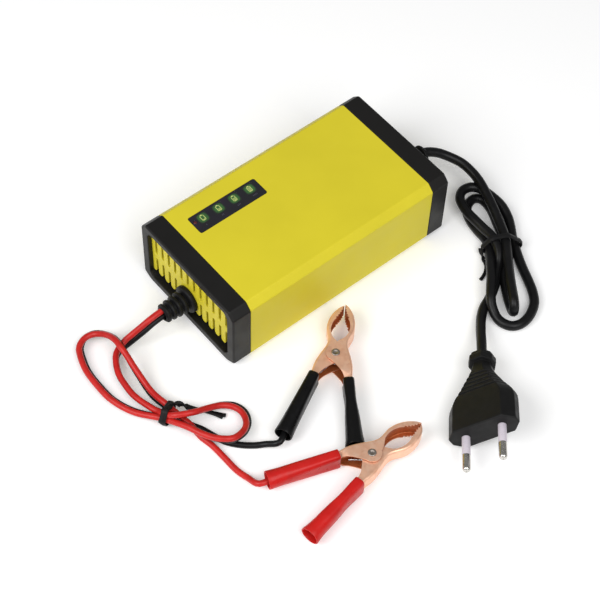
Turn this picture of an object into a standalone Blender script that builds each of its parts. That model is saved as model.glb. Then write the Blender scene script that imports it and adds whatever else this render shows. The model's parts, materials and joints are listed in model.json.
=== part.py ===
"""A 12 V car battery charger: a sleeve case with two bezels and grilles, its electronics, a mains
cord with a two-pin plug, and a twin output lead with two sprung battery clamps.

Frame: X across the case, Y along it (output end at -Y, mains end at +Y), +Z up. The origin is the
middle of the case's underside. Every length below is in millimetres; make_object turns the finished
meshes into metres.
"""

import math

import bmesh
import bpy
from mathutils import Matrix, Vector

MM = 0.001
GAP = 0.3

# Case
CASE_WIDTH = 72.0
CASE_LENGTH = 135.0
CASE_HEIGHT = 41.8
TOP_CHAMFER = 3.7
BOTTOM_CHAMFER = (5.3, 2.8)
BEZEL_DEPTH = 10.5
WALL = 2.0
LIP_LENGTH = 5.0
LIP_WALL = 1.6
BEZEL_FRAME_DEPTH = 6.0
SCREW_X = 24.0
CASE_SCREW_Y = CASE_LENGTH / 2 - BEZEL_DEPTH - 3.0

# Main board
BOARD_Z = 8.0
BOARD_THICKNESS = 1.6
BOARD_SCREWS = [(x, y) for x in (-26.0, 26.0) for y in (-44.0, 44.0)]

# Grille, in the window of each bezel
WINDOW = (31.0, 4.5, 38.0)
WINDOW_CORNER = 2.5
GRILLE_RECESS = 2.5
GRILLE_THICKNESS = 2.0
FINGER_PITCH = 5.0
SLOT_WIDTH = 1.7
FINGER_TIP_Z = 7.3
LOWER_SLOT_TOP = 18.5
UPPER_SLOT = (22.5, 33.5)

# Charge display on the top face: x range, y range
DISPLAY_X = (-23.5, -11.8)
DISPLAY_Y = (-49.3, -8.2)
LED_WINDOW = 6.2
LED_WINDOW_X = -19.2
LED_WINDOW_FIRST_Y = -42.6
LED_WINDOW_PITCH = 9.5

# Cord entries
OUTPUT_RELIEF = (-2.0, 14.0)
MAINS_RELIEF = (4.0, 20.5)
RELIEF_END = 81.0

# Cords
MAINS_CORD_DIAMETER = 5.0
WIRE_DIAMETER = 2.8
WIRE_PITCH = 3.1
WIRE_FLOOR_Z = 1.45

# Battery clamps: the half's outline lies along +u from the pivot, at the +v side
CLAMP_HEIGHT = 10.0
INNER_HALF_HEIGHT = 7.8
CLAMP_SHEET = 0.8
CLAMP_MID_Z = 6.1
RIVET_RADIUS = 1.2
HANDLE_END = (-40.5, 15.3)
SLEEVE_START = (-12.5, 8.2)
SLEEVE_END = (-46.5, 17.0)
TAPER = ((-8.5, 5.0), (-12.3, 4.1), (-42.5, 3.2))
BLACK_CLAMP = (65.0, -28.5, 130.7)
RED_CLAMP = (117.4, -50.8, 85.1)

# Plug: the middle of its pin face, the heading of its pins, their pitch up, and its roll
PLUG_FACE = (142.7, -5.0, 15.0)
PLUG_HEADING = -42.6
PLUG_PITCH = 7.0
PLUG_ROLL = 36.0
PLUG_CORD_END = 45.5
PIN_SPACING = 19.0
PIN_RADIUS = 2.0
PIN_LENGTH = 19.0
PIN_SLEEVE_LENGTH = 10.0


# ---------------------------------------------------------------- shapes and objects


def material(name, colour, roughness, metallic=0.0):
    made = bpy.data.materials.new(name)
    made.use_nodes = True
    shader = made.node_tree.nodes["Principled BSDF"]
    shader.inputs["Base Color"].default_value = (*colour, 1.0)
    shader.inputs["Roughness"].default_value = roughness
    shader.inputs["Metallic"].default_value = metallic
    made.diffuse_color = (*colour, 1.0)
    return made


def add_object(name, mesh, look, matrix=None):
    """Links a mesh that is already in metres. The matrix holds its place, in millimetres."""
    mesh.materials.append(look)
    mesh.shade_smooth()
    mesh.set_sharp_from_angle(angle=math.radians(35))
    made = bpy.data.objects.new(name, mesh)
    if matrix is not None:
        made.location = matrix.translation * MM
        made.rotation_euler = matrix.to_euler()
    bpy.context.scene.collection.objects.link(made)
    return made


def make_object(name, shape, look, matrix=None):
    """Turns a bmesh in millimetres into an object in metres."""
    bmesh.ops.recalc_face_normals(shape, faces=shape.faces[:])
    bmesh.ops.scale(shape, vec=(MM, MM, MM), verts=shape.verts[:])
    mesh = bpy.data.meshes.new(name)
    shape.to_mesh(mesh)
    shape.free()
    return add_object(name, mesh, look, matrix)


def loft(rings, closed=False):
    """Joins rings of equal counts with quads. Open ends get caps; a closed loft has none."""
    shape = bmesh.new()
    rows = [[shape.verts.new(point) for point in ring] for ring in rings]
    pairs = list(zip(rows, rows[1:]))
    if closed:
        pairs.append((rows[-1], rows[0]))
    count = len(rows[0])
    for low, high in pairs:
        for i in range(count):
            j = (i + 1) % count
            shape.faces.new((low[i], low[j], high[j], high[i]))
    if not closed:
        shape.faces.new(rows[0])
        shape.faces.new(rows[-1])
    return shape


def extrude_y(outline, y0, y1):
    return loft([[(x, y, z) for x, z in outline] for y in (y0, y1)])


def extrude_z(outline, z0, z1):
    return loft([[(x, y, z) for x, y in outline] for z in (z0, z1)])


def box(x0, x1, y0, y1, z0, z1):
    return extrude_z([(x0, y0), (x1, y0), (x1, y1), (x0, y1)], z0, z1)


def circle(radius, count, centre=(0.0, 0.0)):
    steps = [2 * math.pi * i / count for i in range(count)]
    return [(centre[0] + radius * math.cos(a), centre[1] + radius * math.sin(a)) for a in steps]


def turned(profile, count, closed=False):
    """A shape turned about Z from (radius, z) points."""
    rings = [[(x, y, z) for x, y in circle(radius, count)] for radius, z in profile]
    return loft(rings, closed)


def rod(radius, z0, z1, centre=(0.0, 0.0), count=12):
    return extrude_z(circle(radius, count, centre), z0, z1)


def moved(shape, matrix):
    bmesh.ops.transform(shape, matrix=matrix, verts=shape.verts[:])
    return shape


def along_y(shape, x, y, z, direction=1):
    """Turns a shape built along Z to run along Y (or -Y), and moves it."""
    turn = Matrix.Rotation(math.radians(-90 * direction), 4, "X")
    return moved(shape, Matrix.Translation((x, y, z)) @ turn)


def boolean(target, operation, shapes):
    """Adds or cuts each shape, with a helper object for each that is hidden from renders."""
    for shape in shapes:
        helper = make_object(f"{target.name}_{operation.lower()}", shape, CUTTER)
        helper.hide_render = True
        helper.display_type = "WIRE"
        modifier = target.modifiers.new(operation.title(), "BOOLEAN")
        modifier.operation = operation
        modifier.solver = "EXACT"
        modifier.object = helper


def rounded_rectangle(x0, x1, y0, y1, radius, steps=3):
    points = []
    corners = ((x1 - radius, y1 - radius), (x0 + radius, y1 - radius),
               (x0 + radius, y0 + radius), (x1 - radius, y0 + radius))
    for quarter, (x, y) in enumerate(corners):
        for i in range(steps + 1):
            a = math.radians(90 * (quarter + i / steps))
            points.append((x + radius * math.cos(a), y + radius * math.sin(a)))
    return points


# ---------------------------------------------------------------- case


def case_outline(inset=0.0):
    """The case's section as (x, z) points: a rectangle with chamfered corners."""
    half = CASE_WIDTH / 2 - inset
    low, high = inset, CASE_HEIGHT - inset
    slant = inset * 0.41
    top = TOP_CHAMFER - slant
    wide, tall = BOTTOM_CHAMFER[0] - slant, BOTTOM_CHAMFER[1] - slant
    return [(-half + wide, low), (half - wide, low), (half, low + tall), (half, high - top),
            (half - top, high), (-half + top, high), (-half, high - top), (-half, low + tall)]


def window_outline(inset=0.0):
    half = WINDOW[0] - inset
    low, high = WINDOW[1] + inset, WINDOW[2] - inset
    corner = WINDOW_CORNER
    return [(-half + corner, low), (half - corner, low), (half, low + corner),
            (half, high - corner), (half - corner, high), (-half + corner, high),
            (-half, high - corner), (-half, low + corner)]


def ring_extrusion(outer, inner, y0, y1):
    """A tube along Y between two (x, z) outlines with as many points."""
    rings = [[(x, y, z) for x, z in outline]
             for outline, y in ((outer, y0), (outer, y1), (inner, y1), (inner, y0))]
    return loft(rings, closed=True)


def make_case_sleeve():
    """The moulded sleeve, with posts for the boards, a display opening and screw holes."""
    end = CASE_LENGTH / 2 - BEZEL_DEPTH - GAP / 2
    shape = ring_extrusion(case_outline(), case_outline(WALL), -end, end)
    sleeve = make_object("case_sleeve", shape, YELLOW)
    posts = [rod(2.8, WALL - 0.5, BOARD_Z - GAP, place) for place in BOARD_SCREWS]
    ceiling = CASE_HEIGHT - WALL
    posts += [rod(1.8, ceiling - 3.0, ceiling + 0.5, (-9.5, y)) for y in (-45.0, -12.5)]
    boolean(sleeve, "UNION", posts)
    cuts = [extrude_z(rounded_rectangle(*DISPLAY_X, *DISPLAY_Y, 1.2), ceiling - 1, CASE_HEIGHT + 1)]
    cuts += [rod(1.2, WALL + 1.0, BOARD_Z + 1.0, place) for place in BOARD_SCREWS]
    for x in (-SCREW_X, SCREW_X):
        for y in (-CASE_SCREW_Y, CASE_SCREW_Y):
            hole = [(1.5, WALL + 1), (1.5, 1.3), (2.8, 1.3), (2.8, -1.0)]
            cuts.append(moved(turned(hole[::-1], 12), Matrix.Translation((x, y, 0))))
    boolean(sleeve, "DIFFERENCE", cuts)
    return sleeve


def make_bezel(name, end):
    """An end bezel: a chamfered frame with a lip inside the sleeve and two screw bosses."""
    outside = end * CASE_LENGTH / 2
    inside = end * (CASE_LENGTH / 2 - BEZEL_DEPTH + GAP / 2)
    front_edge = 0.6
    frame_back = outside - end * BEZEL_FRAME_DEPTH
    shape = loft([
        [(x, outside, z) for x, z in case_outline(front_edge)],
        [(x, outside - end * front_edge, z) for x, z in case_outline()],
        [(x, inside, z) for x, z in case_outline()],
        [(x, inside, z) for x, z in case_outline(WALL + GAP)],
        [(x, inside - end * LIP_LENGTH, z) for x, z in case_outline(WALL + GAP)],
        [(x, inside - end * LIP_LENGTH, z) for x, z in case_outline(WALL + GAP + LIP_WALL)],
        [(x, frame_back, z) for x, z in case_outline(WALL + GAP + LIP_WALL)],
        [(x, frame_back, z) for x, z in window_outline()],
        [(x, outside, z) for x, z in window_outline()],
    ], closed=True)
    bezel = make_object(name, shape, BLACK_CASE)
    low = WALL + GAP
    near, far = sorted((end * (CASE_SCREW_Y - 2.9), end * (CASE_SCREW_Y + 6.5)))
    boolean(bezel, "UNION", [box(x - 4.0, x + 4.0, near, far, low + 0.8, 11.0)
                             for x in (-SCREW_X, SCREW_X)])
    boolean(bezel, "DIFFERENCE", [rod(1.4, 1.0, 9.5, (x, end * CASE_SCREW_Y))
                                  for x in (-SCREW_X, SCREW_X)])
    return bezel


def make_case_screws():
    """Four countersunk screws that hold the bezels' bosses through the sleeve's underside."""
    profile = [(2.3, 0.3), (2.3, 0.9), (1.1, 1.0), (1.1, 8.8)]
    number = 1
    for y in (-CASE_SCREW_Y, CASE_SCREW_Y):
        for x in (-SCREW_X, SCREW_X):
            place = Matrix.Translation((x, y, 0))
            make_object(f"case_screw_{number}", turned(profile, 12), STEEL, place)
            number += 1


def make_grille(name, end, relief_x, relief_z):
    """A grille: closed slots above, open slots below that leave a comb of fingers."""
    face = end * (CASE_LENGTH / 2 - GRILLE_RECESS)
    back = face - end * GRILLE_THICKNESS
    shape = extrude_y(window_outline(GAP), back, face)
    grille = make_object(name, shape, YELLOW)
    near, far = sorted((back - end, face + end))
    half = WINDOW[0]
    cuts = [box(-half, half, near, far, 0.0, FINGER_TIP_Z)]
    for i in range(-6, 6):
        x = (i + 0.5) * FINGER_PITCH
        cuts.append(slot_cutter(x, near, far, *UPPER_SLOT))
        if abs(x - relief_x) > 8.0:
            cuts.append(slot_cutter(x, near, far, FINGER_TIP_Z - 2.0, LOWER_SLOT_TOP))
    boolean(grille, "DIFFERENCE", cuts)
    boss = along_y(rod(8.0, -0.2, GRILLE_THICKNESS - 0.2), relief_x, back, relief_z, end)
    boolean(grille, "UNION", [boss])
    hole = along_y(rod(5.4, -3.0, 5.0, count=16), relief_x, back, relief_z, end)
    boolean(grille, "DIFFERENCE", [hole])
    return grille


def slot_cutter(x, y0, y1, z0, z1):
    """A vertical slot with half-round ends."""
    radius = SLOT_WIDTH / 2
    outline = []
    for centre, start in ((z1 - radius, 0), (z0 + radius, 180)):
        for i in range(4):
            a = math.radians(start + 60 * i)
            outline.append((x + radius * math.cos(a), centre + radius * math.sin(a)))
    return extrude_y(outline, y0, y1)


def make_display():
    """The dark lens in the top face, its four charge windows, a charge lamp and its board."""
    z = CASE_HEIGHT
    left, right = DISPLAY_X[0] + GAP, DISPLAY_X[1] - GAP
    front, rear = DISPLAY_Y[0] + GAP, DISPLAY_Y[1] - GAP
    outline = rounded_rectangle(left, right, front, rear, 1.0)
    lens = make_object("display_lens", extrude_z(outline, z - 1.8, z - 0.1), LENS)
    half = LED_WINDOW / 2
    centres = [(LED_WINDOW_X, LED_WINDOW_FIRST_Y + i * LED_WINDOW_PITCH) for i in range(4)]
    cuts = []
    for i, (x, y) in enumerate(centres):
        cuts.append(box(x - half, x + half, y - half, y + half, z - 2.5, z + 1))
        edge = half - GAP
        window = box(x - edge, x + edge, y - edge, y + edge, z - 1.8, z - 0.2)
        make_object(f"led_window_{i + 1}", window, GREEN)
    lamp = (LED_WINDOW_X, DISPLAY_Y[0] + 2.1)
    cuts.append(rod(1.1, z - 2.5, z + 1, lamp, 10))
    make_object("charge_lamp", rod(0.8, z - 4.0, z - 0.2, lamp, 10), RED_LAMP)
    boolean(lens, "DIFFERENCE", cuts)
    board = box(-28.0, -7.5, -50.0, -7.0, z - WALL - 3.3 - 1.2, z - WALL - 3.3)
    make_object("display_board", board, BOARD)


# ---------------------------------------------------------------- electronics


def make_electronics():
    """The main board and what stands on it. Parts on the board stand GAP above it."""
    top = BOARD_Z + BOARD_THICKNESS
    board = make_object("main_board", box(-30, 30, -48.5, 48.5, BOARD_Z, top), BOARD)
    boolean(board, "DIFFERENCE", [rod(1.3, BOARD_Z - 1, top + 1, p) for p in BOARD_SCREWS])
    screw = [(1.0, 3.4), (1.0, top + GAP), (2.4, top + GAP), (2.0, top + 1.8)]
    for i, (x, y) in enumerate(BOARD_SCREWS):
        place = Matrix.Translation((x, y, 0))
        make_object(f"board_screw_{i + 1}", turned(screw, 10), STEEL, place)
    base = top + GAP
    make_transformer(base)
    make_heatsink(base)
    for name, x, y, radius, height, look in (
        ("mains_capacitor", 14.0, 30.0, 8.0, 24.0, CAPACITOR),
        ("output_capacitor_1", 20.0, -30.0, 5.0, 20.0, CAPACITOR),
        ("output_capacitor_2", 8.5, -34.0, 5.0, 20.0, CAPACITOR),
    ):
        profile = [(radius - 0.6, 0), (radius, 0.6), (radius, height - 0.6), (radius - 0.6, height)]
        place = Matrix.Translation((x, y, base))
        make_object(name, turned(profile, 16), look, place)
    make_object("bridge_rectifier", box(-5, 0, 28, 43, base, base + 14), BLACK_RESIN)
    fuse = along_y(rod(2.6, 0, 20.0, count=12), -14.0, 25.0, base + 2.8)
    make_object("fuse", fuse, CERAMIC)
    ring = [(4.0, 0), (8.0, 0), (8.0, 7.0), (4.0, 7.0)]
    place = Matrix.Translation((-8.0, -36.0, base))
    make_object("filter_choke", turned(ring, 16, closed=True), COPPER_WIRE, place)
    make_object("control_chip", box(-20, -14, -28, -18, base, base + 3.5), BLACK_RESIN)


def make_transformer(base):
    """A ferrite E core round a wound bobbin."""
    low, high = base, base + 24.0
    core = make_object("transformer_core", box(-13, 13, -10, 10, low, high), FERRITE)
    slots = [box(x0, x1, -12, 12, low + 5, high - 5) for x0, x1 in ((-9, -4), (4, 9))]
    boolean(core, "DIFFERENCE", slots)
    outer = rounded_rectangle(-9 + GAP, 9 - GAP, -15.0, 15.0, 3.0)
    inner = rounded_rectangle(-4 - GAP, 4 + GAP, -10.0 - GAP, 10.0 + GAP, 0.4)
    z0, z1 = low + 5 + GAP, high - 5 - GAP
    rings = [[(x, y, z) for x, y in outline]
             for outline, z in ((outer, z0), (outer, z1), (inner, z1), (inner, z0))]
    make_object("transformer_winding", loft(rings, closed=True), WINDING)


def make_heatsink(base):
    """A finned aluminium plate with the switching transistor and the output diode on it."""
    outline = [(25.0, base), (25.0, base + 22.0), (23.5, base + 22.0), (23.5, base)]
    sink = make_object("heatsink", extrude_y(outline, -18.0, 18.0), ALUMINIUM)
    fins = [box(24.5, 28.5, y - 0.6, y + 0.6, base + 0.5, base + 21.5)
            for y in (-15.0, -9.0, -3.0, 3.0, 9.0, 15.0)]
    boolean(sink, "UNION", fins)
    for name, y in (("switching_transistor", 8.0), ("output_diode", -9.0)):
        tab = box(18.5, 23.5 - GAP, y - 5, y + 5, base + 3, base + 18)
        make_object(name, tab, BLACK_RESIN)


# ---------------------------------------------------------------- cords


def smooth_points(route, spacing):
    """Points at an even spacing along a smooth curve through the route's points."""
    knots = [Vector(p) for p in route]
    ends = [2 * knots[0] - knots[1]] + knots + [2 * knots[-1] - knots[-2]]
    fine = []
    for a, b, c, d in zip(ends, ends[1:], ends[2:], ends[3:]):
        for i in range(20):
            t = i / 20
            fine.append(0.5 * (2 * b + (c - a) * t + (2 * a - 5 * b + 4 * c - d) * t ** 2
                               + (3 * b - a - 3 * c + d) * t ** 3))
    fine.append(knots[-1])
    length = sum((q - p).length for p, q in zip(fine, fine[1:]))
    count = max(2, round(length / spacing))
    step = length / count
    points, travelled = [fine[0]], 0.0
    for p, q in zip(fine, fine[1:]):
        piece = (q - p).length
        while len(points) < count and travelled + piece >= step * len(points):
            points.append(p.lerp(q, (step * len(points) - travelled) / piece))
        travelled += piece
    points.append(fine[-1])
    return points


def make_cord(name, route, diameter, look, spacing, resolution):
    curve = bpy.data.curves.new(name, "CURVE")
    curve.dimensions = "3D"
    curve.bevel_depth = diameter / 2 * MM
    curve.bevel_resolution = resolution
    curve.use_fill_caps = True
    points = smooth_points(route, spacing)
    spline = curve.splines.new("POLY")
    spline.points.add(len(points) - 1)
    for target, point in zip(spline.points, points):
        target.co = (*(point * MM), 1.0)
    curve.materials.append(look)
    bpy.context.scene.collection.objects.link(bpy.data.objects.new(name, curve))


# The twin output lead, as x, y, the black wire's lift off the floor, and how far the red wire above
# it leans to the left, in degrees: from the strain relief to the tie, round the right loop, back
# through the tie, round the left loop, and through the tie once more.
TWIN_ROUTE = (
    (-2.0, -81.3, 11.1, -20), (-1.9, -86.8, 10.5, -20), (-2.2, -91.6, 8.4, -20),
    (-3.3, -95.6, 5.4, -16), (-4.2, -99.9, 2.8, -14), (-4.7, -104.6, 1.0, 3), (-3.0, -108.6, 0.2, 5), (0.5, -111.0, 0.0, -1),
    (4.6, -112.8, 0.0, -7), (9.6, -114.1, 0.0, -12), (20.7, -114.5, 0.0, -21),
    (31.6, -112.1, 0.7, -26), (36.1, -110.3, 1.2, -29), (39.7, -109.4, 3.2, -34),
    (44.1, -107.2, 6.4, -35), (47.3, -101.9, 6.8, -31), (47.7, -96.7, 4.0, -31),
    (48.3, -91.0, 1.8, -32), (49.9, -85.4, 0.5, -37), (53.7, -80.7, 0.0, -45),
    (59.4, -79.2, 0.0, -42), (64.9, -81.4, 0.2, -26), (68.4, -85.9, 1.4, -4),
    (70.0, -91.0, 3.5, 9), (69.8, -95.8, 5.5, 18), (65.3, -100.3, 5.6, 26),
    (59.7, -103.4, 5.2, 28), (52.1, -106.2, 4.5, 30), (43.5, -109.5, 2.2, 32),
    (37.2, -112.6, 0.8, 34), (30.0, -117.5, 0.0, 38), (24.7, -120.6, 0.0, 36),
    (18.1, -123.0, 0.0, 33), (10.9, -124.1, 0.0, 31), (-3.5, -123.8, 0.0, 26),
    (-14.3, -120.7, 0.0, 19), (-18.2, -118.5, 0.3, 0), (-20.8, -114.6, 0.9, -27),
    (-19.9, -109.6, 1.8, -41), (-15.6, -106.2, 3.2, -40), (-9.7, -104.9, 5.8, -35),
    (-4.2, -105.3, 7.8, -27), (0.2, -106.1, 7.9, -18), (4.6, -106.4, 6.4, -14),
    (9.7, -106.9, 4.4, -10), (21.8, -107.9, 1.2, -2), (28.3, -107.9, 1.0, -1),
    (33.6, -107.1, 1.4, -3), (38.8, -106.2, 0.8, -4), (43.8, -104.5, 0.1, -16),
    (49.5, -103.2, 0.0, -24),
)
RED_TAIL = (
    (53.4, -104.0, 2.9), (58.2, -103.5, 1.6), (64.6, -102.3, 1.5), (72.8, -101.9, 1.5),
    (81.7, -101.6, 1.6), (88.8, -100.4, 2.8),
)
BLACK_TAIL = (
    (54.2, -100.8, 1.5), (59.8, -98.9, 1.5), (66.4, -96.4, 1.5), (72.1, -92.0, 1.5),
    (76.4, -87.2, 1.6), (79.6, -83.0, 2.6),
)

# The mains cord, as x, y, z: from the strain relief over the bundle to the narrow lower fold, back
# up to the inner left loop, down round the big lower loop, up round the outer top loop, and down
# to the plug.
MAINS_ROUTE = (
    (4.0, 81.3, 20.5), (6.6, 87.0, 19.0), (10.3, 91.4, 16.8), (17.2, 96.0, 14.2),
    (24.3, 97.2, 12.6), (31.4, 96.5, 11.6), (38.7, 94.4, 10.6), (46.4, 91.8, 9.8),
    (54.0, 88.7, 9.0), (61.4, 85.3, 8.7), (67.3, 81.7, 8.3), (72.4, 77.6, 8.4), (77.6, 73.4, 8.6),
    (85.3, 67.2, 9.6), (92.5, 61.9, 10.2), (95.1, 59.9, 10.7), (97.4, 58.4, 9.3), (98.3, 57.8, 6.5),
    (97.4, 58.5, 3.7), (94.2, 60.2, 2.6), (87.6, 64.0, 2.8), (80.4, 69.1, 2.6), (76.2, 73.7, 2.7),
    (72.8, 78.6, 3.1), (69.0, 82.2, 3.5), (64.4, 84.9, 3.5), (58.5, 87.7, 3.0), (51.5, 90.9, 2.6),
    (44.9, 93.9, 2.6), (39.1, 95.3, 2.6), (34.7, 94.7, 2.6), (32.8, 91.8, 2.6), (33.7, 87.5, 2.6),
    (37.0, 83.5, 2.6), (42.7, 81.0, 2.6), (49.4, 79.7, 2.6), (55.6, 78.8, 3.1), (61.1, 76.3, 4.0),
    (66.4, 72.0, 5.0), (71.9, 67.0, 6.6), (77.2, 62.3, 7.8), (81.6, 57.9, 8.0), (85.7, 54.0, 7.4),
    (89.0, 51.8, 5.6), (94.0, 50.3, 3.2), (98.7, 50.5, 2.6), (102.9, 52.9, 2.6), (104.7, 57.7, 2.6),
    (103.7, 64.1, 2.6), (99.9, 70.8, 2.6), (94.1, 75.2, 2.6), (87.7, 78.3, 2.6), (81.3, 81.0, 2.6),
    (75.0, 83.9, 3.0), (68.8, 87.1, 3.5), (63.8, 90.1, 3.5), (58.9, 93.7, 3.4), (53.5, 96.8, 4.0),
    (46.6, 98.6, 5.4), (39.4, 98.2, 6.4), (33.5, 96.8, 7.2), (29.1, 93.5, 7.6), (27.9, 88.4, 7.6),
    (30.4, 84.0, 7.6), (34.9, 81.7, 7.7), (40.8, 80.4, 7.7), (46.6, 80.1, 7.7), (52.8, 79.9, 7.6),
    (58.4, 79.7, 7.9), (63.8, 78.2, 7.6), (68.4, 75.9, 6.2), (71.6, 73.0, 4.0), (75.0, 68.8, 2.7),
    (79.0, 64.0, 2.6), (81.9, 59.5, 2.6), (84.2, 54.6, 2.6), (86.4, 49.3, 2.6), (90.3, 43.9, 3.0),
    (96.6, 37.4, 5.4), (103.0, 31.5, 8.0),
)
MAINS_TIE = (64.5, 82.0)
MAINS_TIE_HEADING = -30.0
OUTPUT_TIE = (39.7, -110.3)
OUTPUT_TIE_HEADING = 30.0


def clamp_point(clamp, u, v, z):
    """A point given along (u), across (v) and above the middle of a clamp."""
    x, y, heading = clamp
    place = Matrix.Translation((x, y, CLAMP_MID_Z)) @ Matrix.Rotation(math.radians(heading), 4, "Z")
    return tuple(place @ Vector((u, v, z)))


def wire_ends(clamp):
    """The lead's last two points: just outside the wired sleeve and just inside it."""
    run = Vector(SLEEVE_START) - Vector(SLEEVE_END)
    run.normalize()
    points = []
    for depth in (-4.0, 3.0):
        place = Vector(SLEEVE_END) + run * depth
        points.append(clamp_point(clamp, place.x, place.y, -0.6))
    return tuple(points)


def twin_route(offset):
    """The lower wire's route, or one moved by offset square to it, towards its leaning partner."""
    points = [Vector((x, y, WIRE_FLOOR_Z + lift)) for x, y, lift, lean in TWIN_ROUTE]
    route = []
    for i, point in enumerate(points):
        run = (points[min(i + 1, len(points) - 1)] - points[max(i - 1, 0)]).normalized()
        above = (Vector((0, 0, 1)) - run * run.z).normalized()
        lean = math.radians(TWIN_ROUTE[i][3])
        aside = above * math.cos(lean) + above.cross(run) * math.sin(lean)
        route.append(tuple(point + aside * offset))
    return tuple(route)


def plug_matrix():
    """Plug axes: X across the pins, Y against the pins' direction, Z out of its flat side."""
    heading, pitch, roll = (math.radians(a) for a in (PLUG_HEADING, PLUG_PITCH, PLUG_ROLL))
    turn = Matrix.Rotation(heading, 4, "Z") @ Matrix.Rotation(-pitch, 4, "Y")
    turn = turn @ Matrix.Rotation(roll, 4, "X") @ Matrix.Rotation(math.radians(90), 4, "Z")
    return Matrix.Translation(PLUG_FACE) @ turn


def make_cords():
    plug_end = tuple(plug_matrix() @ Vector((0, PLUG_CORD_END + GAP, 0)))
    make_cord("mains_cord", MAINS_ROUTE + (plug_end,), MAINS_CORD_DIAMETER, CORD_BLACK, 9.5, 3)
    red = twin_route(WIRE_PITCH) + RED_TAIL + wire_ends(RED_CLAMP)
    black = twin_route(0.0) + BLACK_TAIL + wire_ends(BLACK_CLAMP)
    make_cord("output_wire_red", red, WIRE_DIAMETER, WIRE_RED, 4.6, 2)
    make_cord("output_wire_black", black, WIRE_DIAMETER, CORD_BLACK, 4.6, 2)


def make_strain_relief(name, x, z, end, bore):
    """A ribbed bush: a flange outside the grille, a neck through it and a nut-like head inside."""
    face = CASE_LENGTH / 2 - GRILLE_RECESS
    start = face + GAP
    profile = [(5.0, face - 6.0), (5.0, start), (7.4, start), (7.4, start + 2.6), (5.4, start + 3.0)]
    ribs = 4
    pitch = (RELIEF_END - start - 3.4) / ribs
    for i in range(ribs):
        root, crown = 4.6 - 0.25 * i, 6.0 - 0.35 * i
        y = start + 3.2 + i * pitch
        profile += [(root, y), (root, y + pitch * 0.3), (crown, y + pitch * 0.42),
                    (crown, y + pitch * 0.85)]
    profile += [(3.9, RELIEF_END), (bore, RELIEF_END), (bore, face - 6.0)]
    shape = turned([(radius, y) for radius, y in profile], 16, closed=True)
    make_object(name, along_y(shape, x, 0, z, end), CORD_BLACK)


def hull_loop(centres, radius, steps=5):
    """A loop round circles at a convex run of centres, as (across, up) points."""
    points = []
    count = len(centres)
    for i, centre in enumerate(centres):
        before = Vector(centre) - Vector(centres[i - 1])
        after = Vector(centres[(i + 1) % count]) - Vector(centre)
        first = math.atan2(before.y, before.x) - math.pi / 2
        turn = (math.atan2(after.y, after.x) - math.pi / 2 - first) % (2 * math.pi)
        for k in range(steps + 1):
            a = first + turn * k / steps
            points.append((centre[0] + radius * math.cos(a), centre[1] + radius * math.sin(a)))
    return points


def make_tie(name, place, heading, centres, radius, tail, tail_width):
    """A flat band round a bundle, with a short tail that lies on the floor."""
    width = 2.6
    inner = hull_loop(centres, radius)
    outer = hull_loop(centres, radius + 0.7)
    turn = Matrix.Translation((*place, 0)) @ Matrix.Rotation(math.radians(heading), 4, "Z")
    rings = []
    for outline, u in ((outer, -width / 2), (outer, width / 2),
                       (inner, width / 2), (inner, -width / 2)):
        rings.append([turn @ Vector((u, v, z)) for v, z in outline])
    tie = make_object(name, loft(rings, closed=True), CORD_BLACK)
    sections = []
    points = smooth_points(tail, 4.0)
    for i, point in enumerate(points):
        ahead = points[min(i + 1, len(points) - 1)] - points[max(i - 1, 0)]
        side = Vector((-ahead.y, ahead.x, 0)).normalized() * tail_width / 2
        lift = Vector((0, 0, 0.5))
        sections.append([point - side, point + side, point + side + lift, point - side + lift])
    boolean(tie, "UNION", [loft(sections)])


def make_ties():
    wire = WIRE_FLOOR_Z
    margin = 0.55
    make_tie("output_tie", OUTPUT_TIE, OUTPUT_TIE_HEADING,
             [(5.0, wire + 1.3), (4.7, wire + 4.4), (-0.7, wire + 8.0), (-3.2, wire + 4.6),
              (-1.5, wire + 1.3)],
             WIRE_DIAMETER / 2 + margin,
             ((38.3, -108.2, 7.6), (38.5, -105.6, 7.5), (38.9, -103.2, 6.5), (40.2, -101.0, 4.9),
              (42.0, -99.2, 3.3), (44.2, -96.8, 1.9), (46.6, -94.2, 0.9), (50.0, -91.5, 0.4),
              (55.6, -88.0, 0.3)), 2.2)
    make_tie("mains_tie", MAINS_TIE, MAINS_TIE_HEADING,
             [(6.9, 4.0), (1.4, 8.9), (-4.3, 8.1), (-7.1, 4.0)],
             MAINS_CORD_DIAMETER / 2 + margin,
             ((59.2, 72.7, 3.4), (60.9, 71.5, 2.2), (63.6, 70.6, 1.2), (66.8, 69.6, 0.6),
              (70.0, 66.3, 0.3), (72.8, 61.3, 0.3)), 1.6)


# ---------------------------------------------------------------- plug


def plug_section(half_width, half_height, corner, y):
    """An eight-sided section: flat top and bottom, slanted sides."""
    w, h, c = half_width, half_height, corner
    edge = h * 0.3
    return [(w, y, -edge), (w, y, edge), (w - c, y, h), (-w + c, y, h),
            (-w, y, edge), (-w, y, -edge), (-w + c, y, -h), (w - c, y, -h)]


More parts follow.
